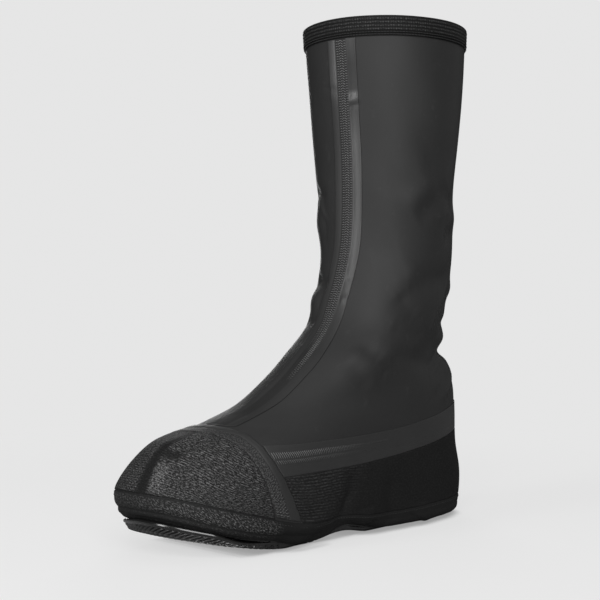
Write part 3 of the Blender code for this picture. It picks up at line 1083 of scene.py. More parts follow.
@dataclass
class Cover:
    """A fabric piece that lies on the form as a sheet with rolled edges."""

    form: Form
    name: str
    node: str
    finish: Finish
    rows: int
    columns: int
    height: float = 0.7
    seat: float = 0.18
    roll: float = 0.9
    closed: bool = False
    seam_rise: float = 0.0
    sink: float = 0.3

    def place(self, along: Array, across: Array) -> tuple[Array, Array]:
        """Angle and ring at shares along and across the piece."""
        raise NotImplementedError

    def relief(self, lie: Lie) -> Array:
        """Extra height in millimetres."""
        return np.zeros_like(lie.run)

    def tone(self, lie: Lie) -> Array:
        """A value from 0 to 1 that the finish reads."""
        return np.ones_like(lie.run)

    def shares(self, count: int, length: float) -> Array:
        """Shares from 0 to 1 with a few close together at the rolled edges.

        Args:
            count: How many.
            length: Millimetres from edge to edge.

        Returns:
            The shares, in order.
        """
        edge = min(0.2, self.roll / length)
        close = np.array([0.0, 0.12, 0.4])
        inside = np.linspace(edge, 1 - edge, count - 6)
        return np.concatenate([close * edge, inside, 1 - close[::-1] * edge])

    def build(self) -> bpy.types.Object:
        """Makes the sheet.

        Returns:
            The new object.
        """
        middle = np.linspace(0, 1, 60)
        half = np.full(60, 0.5)
        length = paced(self.form.point(*self.place(middle, half)), 0)[-1]
        width = paced(self.form.point(*self.place(half, middle)), 0)[-1]
        across = self.shares(self.rows, width)[:, None]
        if self.closed:
            along = np.linspace(0, 1, self.columns + 1)[None]
        else:
            along = self.shares(self.columns, length)[None]
        along, across = np.broadcast_arrays(along, across)
        angle, v = np.broadcast_arrays(*self.place(along, across))
        base = self.form.point(angle, v)
        run, climb = paced(base, 1), paced(base, 0)
        cloth = np.stack([np.broadcast_to(run[len(run) // 2], run.shape), climb], -1)
        lie = Lie(along, across, run, climb, angle, v)
        edge = np.minimum(climb, climb[-1:] - climb)
        if not self.closed:
            edge = np.minimum(edge, np.minimum(run, run[:, -1:] - run))
        rolled = np.clip(edge / self.roll, 0, 1)
        shape = 0.3 + 0.7 * np.sqrt(1 - (1 - rolled) ** 2)
        lift = self.seat + self.height * shape + rolled * self.relief(lie)
        moved = self.form.crease(base)
        normal = self.form.normal(angle, v)
        top = base + (moved + lift)[..., None] * normal
        bottom = base + (moved + self.seat)[..., None] * normal
        tone = self.tone(lie)
        rise, go = base[2, 1] - base[1, 1], base[1, 2] - base[1, 1]
        flip = bool(np.dot(np.cross(rise, go), normal[1, 1]) < 0)
        if self.closed:
            top, bottom, tone = top[:, :-1], bottom[:, :-1], tone[:, :-1]
        draft = Draft()
        draft.slab(top, bottom, cloth, tone, self.closed, flip)
        return draft.make(self.name, [self.finish.material()])

    def spaced(self, pitch: float, across: float, start: float = 0.0, end: float = 1.0) -> Array:
        """Shares along the piece at an even distance from one another.

        Args:
            pitch: Millimetres from one to the next.
            across: Share across the piece to measure at.
            start: Share along the piece to begin from.
            end: Share along the piece to end before.

        Returns:
            The shares, in order.
        """
        fine = np.linspace(start, end, 400)
        run = paced(self.form.point(*self.place(fine, np.full(400, across))), 0)
        return np.interp(np.arange(pitch, run[-1] - pitch, pitch), run, fine)

    def sew(
        self,
        draft: Draft,
        at: Array,
        shape: Sequence[tuple[float, float]],
        radius: float,
        fade: Number = 0.0,
    ) -> None:
        """Lays one thread at each place.

        Args:
            draft: The mesh that takes the threads.
            at: Shares along the piece.
            shape: The thread's two ends, each as millimetres along and share across.
            radius: The thread's radius.
            fade: How far each thread has taken the cloth's colour.
        """
        middle = np.linspace(0, 1, 60)
        length = paced(self.form.point(*self.place(middle, np.full(60, 0.5))), 0)[-1]
        t = np.linspace(0, 1, 5)
        (along_a, across_a), (along_b, across_b) = shape
        along = at[:, None] + (along_a + t * (along_b - along_a)) / length
        across = np.broadcast_to(across_a + t * (across_b - across_a), along.shape)
        angle, v = self.place(np.clip(along, 0, 1), across)
        arch = self.seat + self.height + self.seam_rise + radius * (2.2 * np.sin(math.pi * t) - 1.0)
        depth = self.sink * np.broadcast_to(np.asarray(fade, float), at.shape)[:, None] ** 3
        paths = self.form.skin(angle, v, arch - depth)
        draft.threads(paths, self.form.normal(angle[:, 2], v[:, 2]), radius, fade)

    def dress(self) -> None:
        """Places the sheet on the part."""
        settle(self.build(), self.node, self.node)


SEAM = (
    (3.0, 178.0), (4.0, 177.0), (5.0, 171.0), (6.0, 167.0), (7.0, 168.0), (7.8, 176.0),
    (8.3, 178.0), (9.0, 172.5), (10.0, 170.0), (11.0, 170.3), (12.0, 169.5),
)
HEM_START = 0.35
HEM_TOP = (
    (0.0, 2.1), (40.0, 2.05), (80.0, 1.95), (114.0, 2.1), (131.0, 2.45), (160.0, 2.85), (180.0, 2.88),
)
PANEL_EDGES = (
    (0.0, 4.50, 5.40), (25.0, 4.45, 5.35), (42.0, 4.25, 5.15), (58.0, 4.01, 4.90), (74.0, 3.81, 4.68),
    (92.0, 3.65, 4.52), (111.0, 3.54, 4.38), (122.0, 3.45, 4.28), (138.0, 3.40, 4.22),
)
# Toe cap: share of the way from the hem to the middle of the foot, ring and angle of the cap's
# edge, then ring and angle of its tape's far edge.
CAP_EDGE = (
    (0.0, 2.37, 124.0, 2.17, 114.5), (0.125, 2.60, 124.2, 2.45, 115.2), (0.25, 2.99, 125.5, 2.95, 117.3),
    (0.375, 3.35, 128.0, 3.40, 121.3), (0.5, 3.66, 132.0, 3.80, 127.0), (0.625, 4.03, 139.0, 4.20, 134.5),
    (0.75, 4.35, 150.0, 4.60, 146.0), (0.875, 4.55, 163.0, 4.84, 161.0), (1.0, 4.61, 178.0, 4.93, 178.0),
)
PIECE_GAP = 0.02
END_GAP = 0.4


def smooth_column(table: Sequence[Sequence[float]], at: Number, which: int = 1) -> Array:
    """A table's column with its corners rounded off.

    Args:
        table: Rows of numbers, each with its place first.
        at: Places to look up.
        which: The column.

    Returns:
        The column's value at each place.
    """
    reach = 0.35 * np.diff(np.array(table, float)[:, 0]).mean()
    steps = np.linspace(-1, 1, 9)
    weights = 1.2 - np.abs(steps)
    places = [np.asarray(at, float) + step * reach for step in steps]
    values = [weight * column(table, place, which) for weight, place in zip(weights, places)]
    return np.sum(values, axis=0) / weights.sum()


def cap_curve(along: Array, which: int) -> Array:
    """The toe cap's edge, or its tape's far edge, over the foot from hem to hem.

    Args:
        along: Shares along the edge, from the outer side to the inner one.
        which: Column of the edge's table: a ring (1, 3) or an angle (2, 4).

    Returns:
        The ring or the angle at each share.
    """
    share = 1 - np.abs(2 * along - 1)
    value = smooth_column(CAP_EDGE, share, which)
    return np.where(along > 0.5, 360.0 - value, value) if which in (2, 4) else value


@dataclass
class FrontTape(Cover):
    """The seam tape from the binding down the leg and over the instep, with its flatlock seam."""

    low_ring: float = 4.945
    high_ring: float = 11.752
    half: float = 12.0
    seam_half: float = 4.7
    seam_rise: float = 0.3
    seam_from: float = 6.5
    sink: float = 1.3
    pitch: float = 1.85
    # Ring, and how bright the outer and the inner strip are there, as painted light and shade; where low,
    # the strip is also duller.
    gloss: Table = (
        (4.9, 0.20, 0.26), (7.2, 0.20, 0.26), (8.2, 0.60, 0.42), (9.2, 0.82, 0.58), (10.4, 0.82, 0.62),
        (10.82, 0.40, 0.52), (10.90, 0.45, 0.55), (10.95, 1.0, 0.60), (11.03, 1.0, 0.72),
        (11.08, 0.26, 0.92), (11.42, 0.18, 0.92), (11.56, 0.30, 0.95), (11.76, 0.45, 0.95),
    )
    # Ring, and how far the outer and the inner threads have gone into the tape there.
    faded: Table = (
        (6.5, 1.0, 1.0), (7.1, 0.0, 0.85), (7.6, 0.0, 0.60), (8.4, 0.0, 0.10), (9.0, 0.0, 0.0),
    )

    def place(self, along: Array, across: Array) -> tuple[Array, Array]:
        """Angle and ring on the tape.

        Args:
            along: Shares along the tape, upwards.
            across: Shares across it, from its inner edge.

        Returns:
            The angles and the rings.
        """
        v = self.low_ring + along * (self.high_ring - self.low_ring)
        middle = smooth_column(SEAM, v)
        one_degree = self.form.point(middle + 0.5, v) - self.form.point(middle - 0.5, v)
        return middle + (1 - 2 * across) * self.half / np.linalg.norm(one_degree, axis=-1), v

    def relief(self, lie: Lie) -> Array:
        """Two plain strips with a slightly raised seam between them.

        Args:
            lie: Where the points lie.

        Returns:
            Millimetres.
        """
        side = np.abs(2 * lie.across - 1) * self.half
        strip = np.clip((side - self.seam_half) / (self.half - self.seam_half), 0, 1)
        proud = smooth_step(side, self.seam_half + 0.5, self.seam_half - 0.5)
        tilt = np.where(lie.across < 0.5, strip, 0) * (0.35 + 0.65 * smooth_step(lie.v, 10.85, 11.05))
        thin = 0.28 * smooth_step(lie.v, 7.6, 6.6)
        seam = self.seam_rise * proud * smooth_step(lie.v, self.seam_from, self.seam_from + 0.6)
        return 0.15 * np.sin(math.pi * strip) + 0.8 * tilt + seam - thin

    def tone(self, lie: Lie) -> Array:
        """Dark under the seam's threads, with painted light and shade on the strips, brighter up the leg
        than over the instep.

        Args:
            lie: Where the points lie.

        Returns:
            Values from 0 to 1.
        """
        side = np.abs(2 * lie.across - 1) * self.half
        seam = smooth_step(side, self.seam_half + 0.2, self.seam_half - 0.6)
        # The strips' brightness along the tape is painted light and shade from the table above.
        outer, inner = column(self.gloss, lie.v), column(self.gloss, lie.v, 2)
        return (1 - 0.9 * seam) * np.where(lie.across < 0.5, inner, outer)

    def dress(self) -> None:
        """Places the tape and its seam on the part."""
        super().dress()
        draft = Draft()
        climb = self.high_ring - self.low_ring
        at = self.spaced(self.pitch, 0.5, (self.seam_from - self.low_ring) / climb)
        v = self.low_ring + at * climb
        unit_share = 0.5 / self.half
        stitches = (
            ((0.0, -4.3), (0.1, -2.4)),
            ((-0.6, -2.2), (0.6, -0.1)),
            ((0.6, 0.1), (-0.6, 2.2)),
            ((0.1, 2.4), (0.0, 4.3)),
        )
        for start, end in stitches:
            ends = [(start[0], 0.5 + start[1] * unit_share), (end[0], 0.5 + end[1] * unit_share)]
            self.sew(draft, at, ends, 0.30, column(self.faded, v, 2 if end[1] < 0 else 1))
        settle(draft.make("front_seam_thread", [Finish.PALE_THREAD.material()]), self.node)


@dataclass
class SideBand(Cover):
    """A band round the heel from the toe cap's tape to the toe cap's tape."""

    def edges(self, angle: Array) -> tuple[Array, Array]:
        """Rings of the lower and upper edge at an angle from the back."""
        raise NotImplementedError

    def place(self, along: Array, across: Array) -> tuple[Array, Array]:
        """Angle and ring on the band.

        Args:
            along: Shares along the band, from the inner side round the heel.
            across: Shares across it, from its lower edge.

        Returns:
            The angles and the rings.
        """
        end = np.full_like(across, 120.0)
        for _ in range(8):
            low, high = self.edges(end)
            v = low + across * (high - low)
            end = column([(row[3], row[4]) for row in CAP_EDGE], v) - END_GAP
        angle = (2 * along - 1) * end
        low, high = self.edges(from_back(angle))
        return angle, low + across * (high - low)


@dataclass
class PanelTape(SideBand):
    """The seam tape over the side panel's top edge, with two rows of stitches at the front."""

    pitch: float = 1.75
    stitched: Table = ((0.0, 0.19), (0.81, 1.0))

    def edges(self, angle: Array) -> tuple[Array, Array]:
        """Rings of the tape's edges."""
        return smooth_column(PANEL_EDGES, angle), smooth_column(PANEL_EDGES, angle, 2)

    def relief(self, lie: Lie) -> Array:
        """A fine line along the tape's lower part."""
        return -0.08 * np.exp(-(((lie.across - 0.28) / 0.02) ** 2))

    def dress(self) -> None:
        """Places the tape and its stitches on the part."""
        super().dress()
        draft = Draft()
        for start, end in self.stitched:
            at = self.spaced(self.pitch, 0.5, start, end)
            fade = smooth_step(np.abs(2 * at - 1), 0.92, 0.66)
            self.sew(draft, at, [(0.0, 0.35), (0.4, 0.47)], 0.22, 0.4 + 0.6 * fade)
            self.sew(draft, at, [(0.8, 0.51), (0.0, 0.73)], 0.27, fade)
        settle(draft.make("panel_seam_thread", [Finish.PALE_THREAD.material()]), self.node)


@dataclass
class SidePanel(SideBand):
    """The rib knit panel round the heel, between the hem and its tape."""

    pitch: float = 2.2
    fall: float = 0.16

    def edges(self, angle: Array) -> tuple[Array, Array]:
        """Rings of the panel's edges."""
        return smooth_column(HEM_TOP, angle) + PIECE_GAP, smooth_column(PANEL_EDGES, angle) - PIECE_GAP

    def tone(self, lie: Lie) -> Array:
        """Ribs show at the front, most under the tape, and fade towards the heel."""
        return smooth_step(from_back(lie.angle) - 16.0 * (1 - lie.across), 78.0, 106.0)

    def relief(self, lie: Lie) -> Array:
        """Raised ribs that fall a little towards the heel.

        Args:
            lie: Where the points lie.

        Returns:
            Millimetres.
        """
        middle = lie.run[:, -1:] / 2
        down = lie.climb[-1:] - lie.climb + self.fall * np.abs(lie.run - middle)
        wander = 0.8 * np.sin(lie.run / 17.0) + 0.5 * np.sin(lie.run / 7.3 + down / 9.0)
        return 0.16 * (0.03 + 0.97 * self.tone(lie)) * np.sin(2 * math.pi * (down + wander) / self.pitch)


@dataclass
class CapTape(Cover):
    """The seam tape along the toe cap's back edge, with rows of stitches on each side."""

    pitch: float = 2.2
    stitched: Table = ((0.01, 0.40), (0.60, 0.99))

    def place(self, along: Array, across: Array) -> tuple[Array, Array]:
        """Angle and ring on the tape.

        Args:
            along: Shares along the tape, from the outer side.
            across: Shares across it, from the cap.

        Returns:
            The angles and the rings.
        """
        share = 0.04 + 0.96 * across
        edge_v, far_v = cap_curve(along, 1), cap_curve(along, 3)
        edge, far = cap_curve(along, 2), cap_curve(along, 4)
        return edge + share * (far - edge), edge_v + share * (far_v - edge_v)

    def tone(self, lie: Lie) -> Array:
        """Plain strip away from the cap, flecked cloth beside the cap."""
        return 0.45 + 0.55 * smooth_step(lie.across, 0.52, 0.64)

    def relief(self, lie: Lie) -> Array:
        """A shallow line that parts the stitched strip from the plain one."""
        line = np.exp(-(((lie.across - 0.59) / 0.03) ** 2))
        return 0.15 * smooth_step(lie.across, 0.62, 0.75) - 0.22 * line

    def dress(self) -> None:
        """Places the tape and its stitches on the part."""
        super().dress()
        draft = Draft()
        for start, end in self.stitched:
            at = self.spaced(self.pitch, 0.5, start, end)
            fade = smooth_step(np.abs(2 * at - 1), 0.97, 0.42)
            for row, low in enumerate((0.05, 0.18, 0.31, 0.44)):
                slant = 0.9 if row % 2 else 0.7
                self.sew(draft, at, [(-slant, low), (slant, low + 0.12)], 0.24, 0.20 + 0.80 * fade)
        settle(draft.make("cap_seam_thread", [Finish.PALE_THREAD.material()]), self.node)


@dataclass
class ToeCap(Cover):
    """The knit patch over the toe, from the hem up to its tape."""

    def place(self, along: Array, across: Array) -> tuple[Array, Array]:
        """Angle and ring on the cap.

        Args:
            along: Shares along the cap, from the outer side.
            across: Shares across it, from the hem.

        Returns:
            The angles and the rings.
        """
        edge_v, edge = cap_curve(along, 1), cap_curve(along, 2)
        low_angle = CAP_EDGE[0][2] + along * (360.0 - 2 * CAP_EDGE[0][2])
        angle = low_angle + across * (edge - low_angle)
        low_v = smooth_column(HEM_TOP, from_back(angle)) + PIECE_GAP
        return angle, np.maximum(low_v + across * (edge_v - low_v), low_v)

    def tone(self, lie: Lie) -> Array:
        """Plain along the seam strip and bar under the cap, with painted shade on the strip, and dense
        flecks as a painted highlight on the patch beside it.

        Args:
            lie: Where the points lie.

        Returns:
            Values from 0 to 1.
        """
        # The strip is darkened as painted shade on the side of the raised seam turned from the light.
        strip = within(lie.angle, 174.4, 182.0, 1.8) * smooth_step(lie.v, 2.7, 2.95)
        bar = 0.9 * within(lie.angle, 163.0, 177.0, 3.5) * within(lie.v, 3.72, 3.92, 0.10)
        # The patch's dense flecks are a painted highlight on the raised seam's lit side.
        patch = within(lie.angle, 167.4, 174.0, 1.0) * within(lie.v, 3.02, 3.64, 0.08)
        seam = smooth_step(lie.climb, 0.4, 1.4)
        # The inner side is a little darker: painted shade.
        plain = 0.43 - 0.09 * smooth_step(lie.angle, 181.0, 185.0)
        return (plain * (1 - 0.9 * np.maximum(strip, bar)) + 0.57 * patch) * seam


@dataclass
class Hem(Cover):
    """The elastic casing round the lower edge, turned under the foot."""

    pitch: float = 2.6
    # Angle from the back, and the share across the hem at which the line under its roll lies there.
    roll_line: Table = (
        (0.0, 0.80), (114.0, 0.70), (124.0, 0.62), (140.0, 0.64), (155.0, 0.68), (180.0, 0.68),
    )

    def place(self, along: Array, across: Array) -> tuple[Array, Array]:
        """Angle and ring at shares along and across the hem."""
        angle = 360.0 * along
        return angle, HEM_START + across * (smooth_column(HEM_TOP, from_back(angle)) - HEM_START)

    def above_line(self, lie: Lie) -> Array:
        """Millimetres that a point lies above the line under the hem's roll."""
        return (lie.across - column(self.roll_line, from_back(lie.angle))) * lie.climb[-1:]

    def tone(self, lie: Lie) -> Array:
        """Flecked cloth round the toe, darker where it turns under.

        Args:
            lie: Where the points lie.

        Returns:
            Values from 0 to 1.
        """
        above = self.above_line(lie)
        shade = 0.30 + 0.70 * smooth_step(above, 0.2, 1.2) - 0.30 * np.exp(-((above / 0.9) ** 2))
        seam = smooth_step(lie.climb[-1:] - lie.climb, 0.5, 1.6)
        front = 1 - 0.45 * smooth_step(from_back(lie.angle), 150.0, 172.0)
        return shade * seam * front * smooth_step(from_back(lie.angle), 120.0, 126.0)

    def relief(self, lie: Lie) -> Array:
        """A soft roll with a sunk line under it, and small gathers.

        Args:
            lie: Where the points lie.

        Returns:
            Millimetres.
        """
        above = self.above_line(lie)
        toe = 0.3 + 0.7 * smooth_step(from_back(lie.angle), 100.0, 124.0)
        roll = 0.75 * toe * np.exp(-(((above - 3.6) / 2.4) ** 2))
        roll = roll + 0.30 * toe * np.exp(-(((above + 3.0) / 1.8) ** 2))
        line = -0.40 * toe * np.exp(-((above / 0.8) ** 2))
        wave = np.sin(lie.run / 1.9 + 2.0 * np.sin(lie.run / 23.0))
        gathers = 0.10 * wave * smooth_step(lie.across, 0.1, 0.5)
        tucked = -0.40 * toe * smooth_step(above, -4.5, -6.5)
        return roll + line + gathers + tucked

    def dress(self) -> None:
        """Places the hem and its stitched line on the part."""
        super().dress()
        draft = Draft()
        self.sew(draft, self.spaced(self.pitch, 0.9), [(-0.85, 0.93), (0.85, 0.93)], 0.24)
        settle(draft.make("hem_thread", [Finish.DARK_THREAD.material()]), self.node)


@dataclass
class CollarBinding:
    """The folded elastic over the collar's edge, with a stitched lower edge."""

    form: Form
    low_ring: float = 11.76
    gap: float = 0.2
    thickness: float = 1.1
    wall: float = 1.5
    columns: int = 264
    ribs: int = 4
    rib_height: float = 0.40
    stitched: float = 0.26
    stitches: int = 170

    def section(self) -> list[tuple[float, float, float]]:
        """The points round the binding's section.

        Returns:
            Ring, distance out and lift of each.
        """
        out, back = self.gap + self.thickness, -(self.wall + self.gap + self.thickness)
        rise = TOP - self.low_ring
        section = [(self.low_ring, self.gap, 0.0), (self.low_ring, 0.7 * out, 0.0)]
        for share in np.linspace(0.01, 1.0, 49):
            ribbed = max(0.0, (share - self.stitched) / (1 - self.stitched))
            wave = 0.5 - 0.5 * math.cos(2 * math.pi * self.ribs * ribbed)
            pinch = 0.35 * math.exp(-(((share - 0.14) / 0.05) ** 2))
            tuck = 0.7 * (1 - smooth_step(share, 0.0, 0.4)) + 0.2 * math.exp(-share / 0.03)
            far = out + self.rib_height * (wave - 0.5) - pinch - float(tuck)
            section.append((self.low_ring + share * rise, far, 0.0))
        centre, radius = (out + back) / 2, (out - back) / 2
        for turn in np.linspace(0, math.pi, 13)[1:-1]:
            section.append((TOP, centre + radius * math.cos(turn), 1.4 * math.sin(turn)))
        for share in np.linspace(1.0, 0.0, 12):
            section.append((self.low_ring + share * rise, back, 0.0))
        inside = -self.wall - self.gap
        return section + [(self.low_ring, inside, 0.0), (TOP, inside, 0.2), (TOP, self.gap, 0.2)]

    def dress(self) -> None:
        """Places the binding and its stitches on the part."""
        angle = np.arange(self.columns) * 360.0 / self.columns
        rings = [self.form.skin(angle, v, out) + (0, 0, lift) for v, out, lift in self.section()]
        points = np.stack(rings)
        climb = paced(points, 0).mean(1)
        length = paced(points[25:26], 1)[0, -1]
        lie = np.zeros((len(points) + 1, self.columns + 1, 2))
        lie[..., 0] = np.arange(self.columns + 1) * length / (self.columns - 1)
        lie[:-1, :, 1] = climb[:, None]
        lie[-1, :, 1] = climb[-1] + 15.0
        draft = Draft()
        out = np.array([row[1] for row in self.section()])
        crest = self.gap + self.thickness + 0.5 * self.rib_height
        tone = smooth_step(out, crest - self.rib_height, crest)
        draft.grid(points, lie, np.repeat(tone, self.columns), True, True)
        made = draft.make("collar_elastic", [Finish.ELASTIC.material()])
        settle(made, "collar_binding", "collar_binding")
        self.sew()

    def sew(self) -> None:
        """Two rows of stitches along the lower edge."""
        draft = Draft()
        t = np.linspace(0, 1, 5)
        middles = np.arange(0, 360.0, 360.0 / self.stitches)
        for share in (0.07, 0.20):
            angle = middles[:, None] + (t - 0.5) * 1.65
            v = np.full_like(angle, self.low_ring + share * (TOP - self.low_ring))
            out = self.gap + self.thickness - 0.7 * (1 - share / 0.4) + 0.45 * np.sin(math.pi * t)
            paths = self.form.skin(angle, v, out)
            draft.threads(paths, self.form.normal(angle[:, 2], v[:, 2]), 0.28)
        settle(draft.make("collar_thread", [Finish.DARK_THREAD.material()]), "collar_binding")


@dataclass
class Sole:
    """The rubber sole: plate inside the hem, tread below it, rim bead, cross grooves and toe ribs."""

    form: Form
    step: float = 2.5
    toe_step: float = 0.5
    wall: float = 1.5
    gap: float = 0.3
    arch_mid: float = 160.0
    arch_half: float = 34.0
    arch_rise: float = 4.5
    spring_from: float = 215.0
    spring_length: float = 70.0
    spring_rise: float = 11.2
    spring_power: float = 1.3
    plate: float = 2.5
    neck_gap: float = 0.7
    rim_ring: float = 1.6
    rim_inset: float = 0.6
    rim_drop: float = 2.6
    rim_ease: float = 4.5
    lip_drop: float = 2.8
    lip_ease: float = 2.0
    toe_round: float = 6.0
    tip_round: float = 2.6
    side_tuck: float = 6.0
    hem_lift: float = 0.95
    hem_gap: float = 0.2
    plate_inset: float = 3.0
    bed_edge: float = 3.0
    bed_height: float = 2.0
    bead: float = 2.1
    groove: float = 1.15
    groove_depth: float = 1.9
    groove_side: float = 1.3
    edge: float = 4.0
    rib_pitch: float = 4.8
    rib_depth: float = 1.7
    rib_slant: float = 2.2
    grooves: tuple[int, ...] = (
        26, 32, 38, 70, 76, 82, 180, 186, 192,
        226, 232, 238, 244, 250, 256, 262, 268, 274, 280, 286, 292,
    )

    def underside(self, forward: Number) -> Array:
        """Height of the tread's underside: flat heel and ball, raised arch, toe spring.

        Args:
            forward: Millimetres forward from the heel.

        Returns:
            Millimetres above the floor.
        """
        forward = np.asarray(forward, float)
        arch = np.maximum(0, 1 - ((forward - self.arch_mid) / self.arch_half) ** 2) ** 2
        spring = (np.maximum(0, forward - self.spring_from) / self.spring_length) ** self.spring_power
        return self.arch_rise * arch + self.spring_rise * spring

    def groove_share(self, forward: Array) -> Array:
        """1 in the middle of a groove, 0 beside it, half-round between."""
        away = np.abs(forward[:, None] - np.array(self.grooves, float)).min(1)
        return np.sqrt(np.maximum(0, 1 - (away / self.groove) ** 2))

    @staticmethod
    def inset(points: Array, distance: Number) -> Array:
        """A closed outline moved in, in plan.

        Args:
            points: The outline's points in order.
            distance: Millimetres, for each point or for all.

        Returns:
            The new outline.
        """
        step = np.roll(points, -1, axis=0) - np.roll(points, 1, axis=0)
        normal = unit(np.stack([step[:, 1], -step[:, 0]], -1))
        moved = points.copy()
        moved[:, :2] += np.broadcast_to(distance, (len(points),))[:, None] * normal
        return moved

    @staticmethod
    def at_height(points: Array, height: Number) -> Array:
        """An outline at given heights.

        Args:
            points: The outline's points in order.
            height: Millimetres, for each point or for all.

        Returns:
            The new outline.
        """
        moved = points.copy()
        moved[:, 2] = height
        return moved

    @staticmethod
    def share(angle: Array) -> Array:
        """How far along the foot each angle is, from 0 at the heel to 1 at the toe."""
        return (1 - np.cos(np.radians(angle))) / 2

    def tread(self, angle: Array) -> Array:
        """The tread's outline: under the neck, out to the rim at the toe, tucked in beside the ball.

        Args:
            angle: Angles round the foot.

        Returns:
            The outline, with a point for each angle.
        """
        neck = self.inset(self.form.point(angle, 0.0), self.neck_gap)
        rim = self.inset(self.form.point(angle, self.rim_ring), self.rim_inset)
        line = neck + (rim - neck) * smooth_step(self.share(angle), 0.78, 0.92)[:, None]
        return self.inset(line, self.side_tuck * within(from_back(angle), 100.0, 120.0, 10.0))

    def under_hem(self, angle: Array, line: Array) -> Array:
        """Height that an outline may reach under the hem, without limit inside the hem's opening.

        Args:
            angle: Angle of each point.
            line: The outline's points in order.

        Returns:
            The highest place for each point.
        """
        v = np.linspace(0.0, self.rim_ring + 0.6, 23)
        low = self.form.skin(angle[None], v[:, None], self.hem_lift)
        step = np.roll(line, -1, axis=0) - np.roll(line, 1, axis=0)
        out = unit(np.stack([-step[:, 1], step[:, 0]], -1))
        reach = np.maximum.accumulate(np.sum((low[..., :2] - line[:, :2]) * out, axis=-1), axis=0)
        pairs = zip(reach.T, low[..., 2].T)
        return np.array([np.interp(0.0, far, up, left=math.inf) for far, up in pairs]) - self.hem_gap

    def columns(self) -> tuple[Array, Array]:
        """Columns round the sole, close together in the grooves.

        Returns:
            The angle of each, and its share of a groove.
        """
        fine = np.arange(0, 360, 0.25)
        forward = self.form.mid_length - self.tread(fine)[:, 1]
        half = len(fine) // 2 + 1
        outer = np.maximum.accumulate(forward[:half])
        inner = np.maximum.accumulate(np.concatenate([forward[:1], forward[:half - 2:-1]]))
        toe_from = np.interp(self.spring_from, outer, fine[:half])
        plain_angle = np.concatenate([
            np.arange(self.step, toe_from, self.step), np.arange(toe_from, 179.9, self.toe_step)
        ])
        plain = np.interp(plain_angle, fine[:half], outer)
        inside = np.array([-1.0, -0.93, -0.7, -0.36, 0.0, 0.36, 0.7, 0.93, 1.0]) * self.groove
        cut = (np.array(self.grooves, float)[:, None] + inside).ravel()
        clear = np.abs(plain[:, None] - np.array(self.grooves, float)).min(1) > 1.3 * self.groove
        stations = np.sort(np.concatenate([plain[clear], cut]))
        last = self.grooves[-1] + 1.3 * self.groove
        stations = stations[stations < last]
        count = int((180 - np.interp(last, outer, fine[:half])) / self.toe_step)
        sides = []
        for forward_at in (outer, inner):
            tip = np.linspace(np.interp(last, forward_at, fine[:half]), 180, count, endpoint=False)
            sides.append(np.concatenate([np.interp(stations, forward_at, fine[:half]), tip]))
        angle = np.concatenate([[0.0], sides[0], [180.0], 360 - sides[1][::-1]])
        share = np.concatenate([self.groove_share(stations), np.zeros(count)])
        return angle, np.concatenate([[0.0], share, [0.0], share[::-1]])

    def ribs(self, run: Array, height: Number, toe: Array) -> Array:
        """How far the slanting ribs round the toe draw an outline in.

        Args:
            run: Millimetres along the tread's outline.
            height: Height above the underside.
            toe: 1 round the toe, 0 behind it.

        Returns:
            The distance, 0 on a rib and more beside it.
        """
        wave = 0.5 + 0.5 * np.cos(2 * math.pi * (run + self.rib_slant * height) / self.rib_pitch)
        return self.rib_depth * toe * wave**1.4

    def rings(self) -> tuple[Array, Array]:
        """Outlines of the sole from its underside up to its plate's bed.

        Returns:
            The outlines, and how much painted light and mattness each point takes.
        """
        angle, groove = self.columns()
        q = self.share(angle)
        toe = smooth_step(q, 0.78, 0.92)
        opening, fold = self.form.point(angle, 0.0), self.form.point(angle, 1.0)
        rim_z = self.form.point(angle, self.rim_ring)[:, 2]
        tread, neck = self.tread(angle), self.inset(opening, self.neck_gap)
        lip, plate = neck + (fold - neck) * toe[:, None], self.inset(fold, self.plate_inset)
        opening_z = opening[:, 2]
        plate_low = fold[:, 2] + self.wall + self.gap + 0.3
        neck_top = opening_z + 0.8 - 2.7 * smooth_step(q, 0.66, 0.78)
        rim_top = neck_top + (rim_z - self.rim_drop - neck_top) * toe**self.rim_ease
        lip_top = neck_top + 0.15 + (fold[:, 2] - self.lip_drop - neck_top - 0.15) * toe**self.lip_ease
        tip = self.tip_round * smooth_step(q, 0.88, 0.96)
        rim, lip = self.inset(tread, 0.6 + tip), self.inset(lip, 0.45)
        crown = np.minimum(rim_top, self.under_hem(angle, self.inset(tread, tip)))
        rim_top = np.minimum(rim_top, self.under_hem(angle, rim))
        lip_top = np.minimum(lip_top, self.under_hem(angle, lip))
        run = paced(tread * (1, 1, 0), 0)
        low = self.underside(self.form.mid_length - tread[:, 1]) + 1.2
        tuck = self.toe_round * smooth_step(q, 0.82, 0.96)
        side = self.groove_side * groove * (1 - toe)
        inner = self.inset(tread, 2.5 + tuck + (self.edge - 1.5) * toe)
        ground = self.underside(self.form.mid_length - inner[:, 1])
        rings = [self.at_height(inner, ground + self.groove_depth * groove)]
        matt_and_painted_light = [np.zeros_like(q)]
        for turn in np.linspace(0, math.pi / 2, 5):
            line = self.inset(tread, 1.0 - math.sin(turn) + tuck * (1 - 0.3 * math.sin(turn)) + side)
            ground = self.underside(self.form.mid_length - line[:, 1])
            cut = self.groove_depth * groove * (1 - toe)
            line = self.at_height(line, ground + 1.2 * (1 - math.cos(turn)) + cut * math.cos(turn))
            rib = self.ribs(run, 1.2 * (1 - math.cos(turn)), toe)
            line = self.inset(line, rib * math.sin(turn))
            rings.append(line + rib[:, None] * (0, 0, math.cos(turn)))
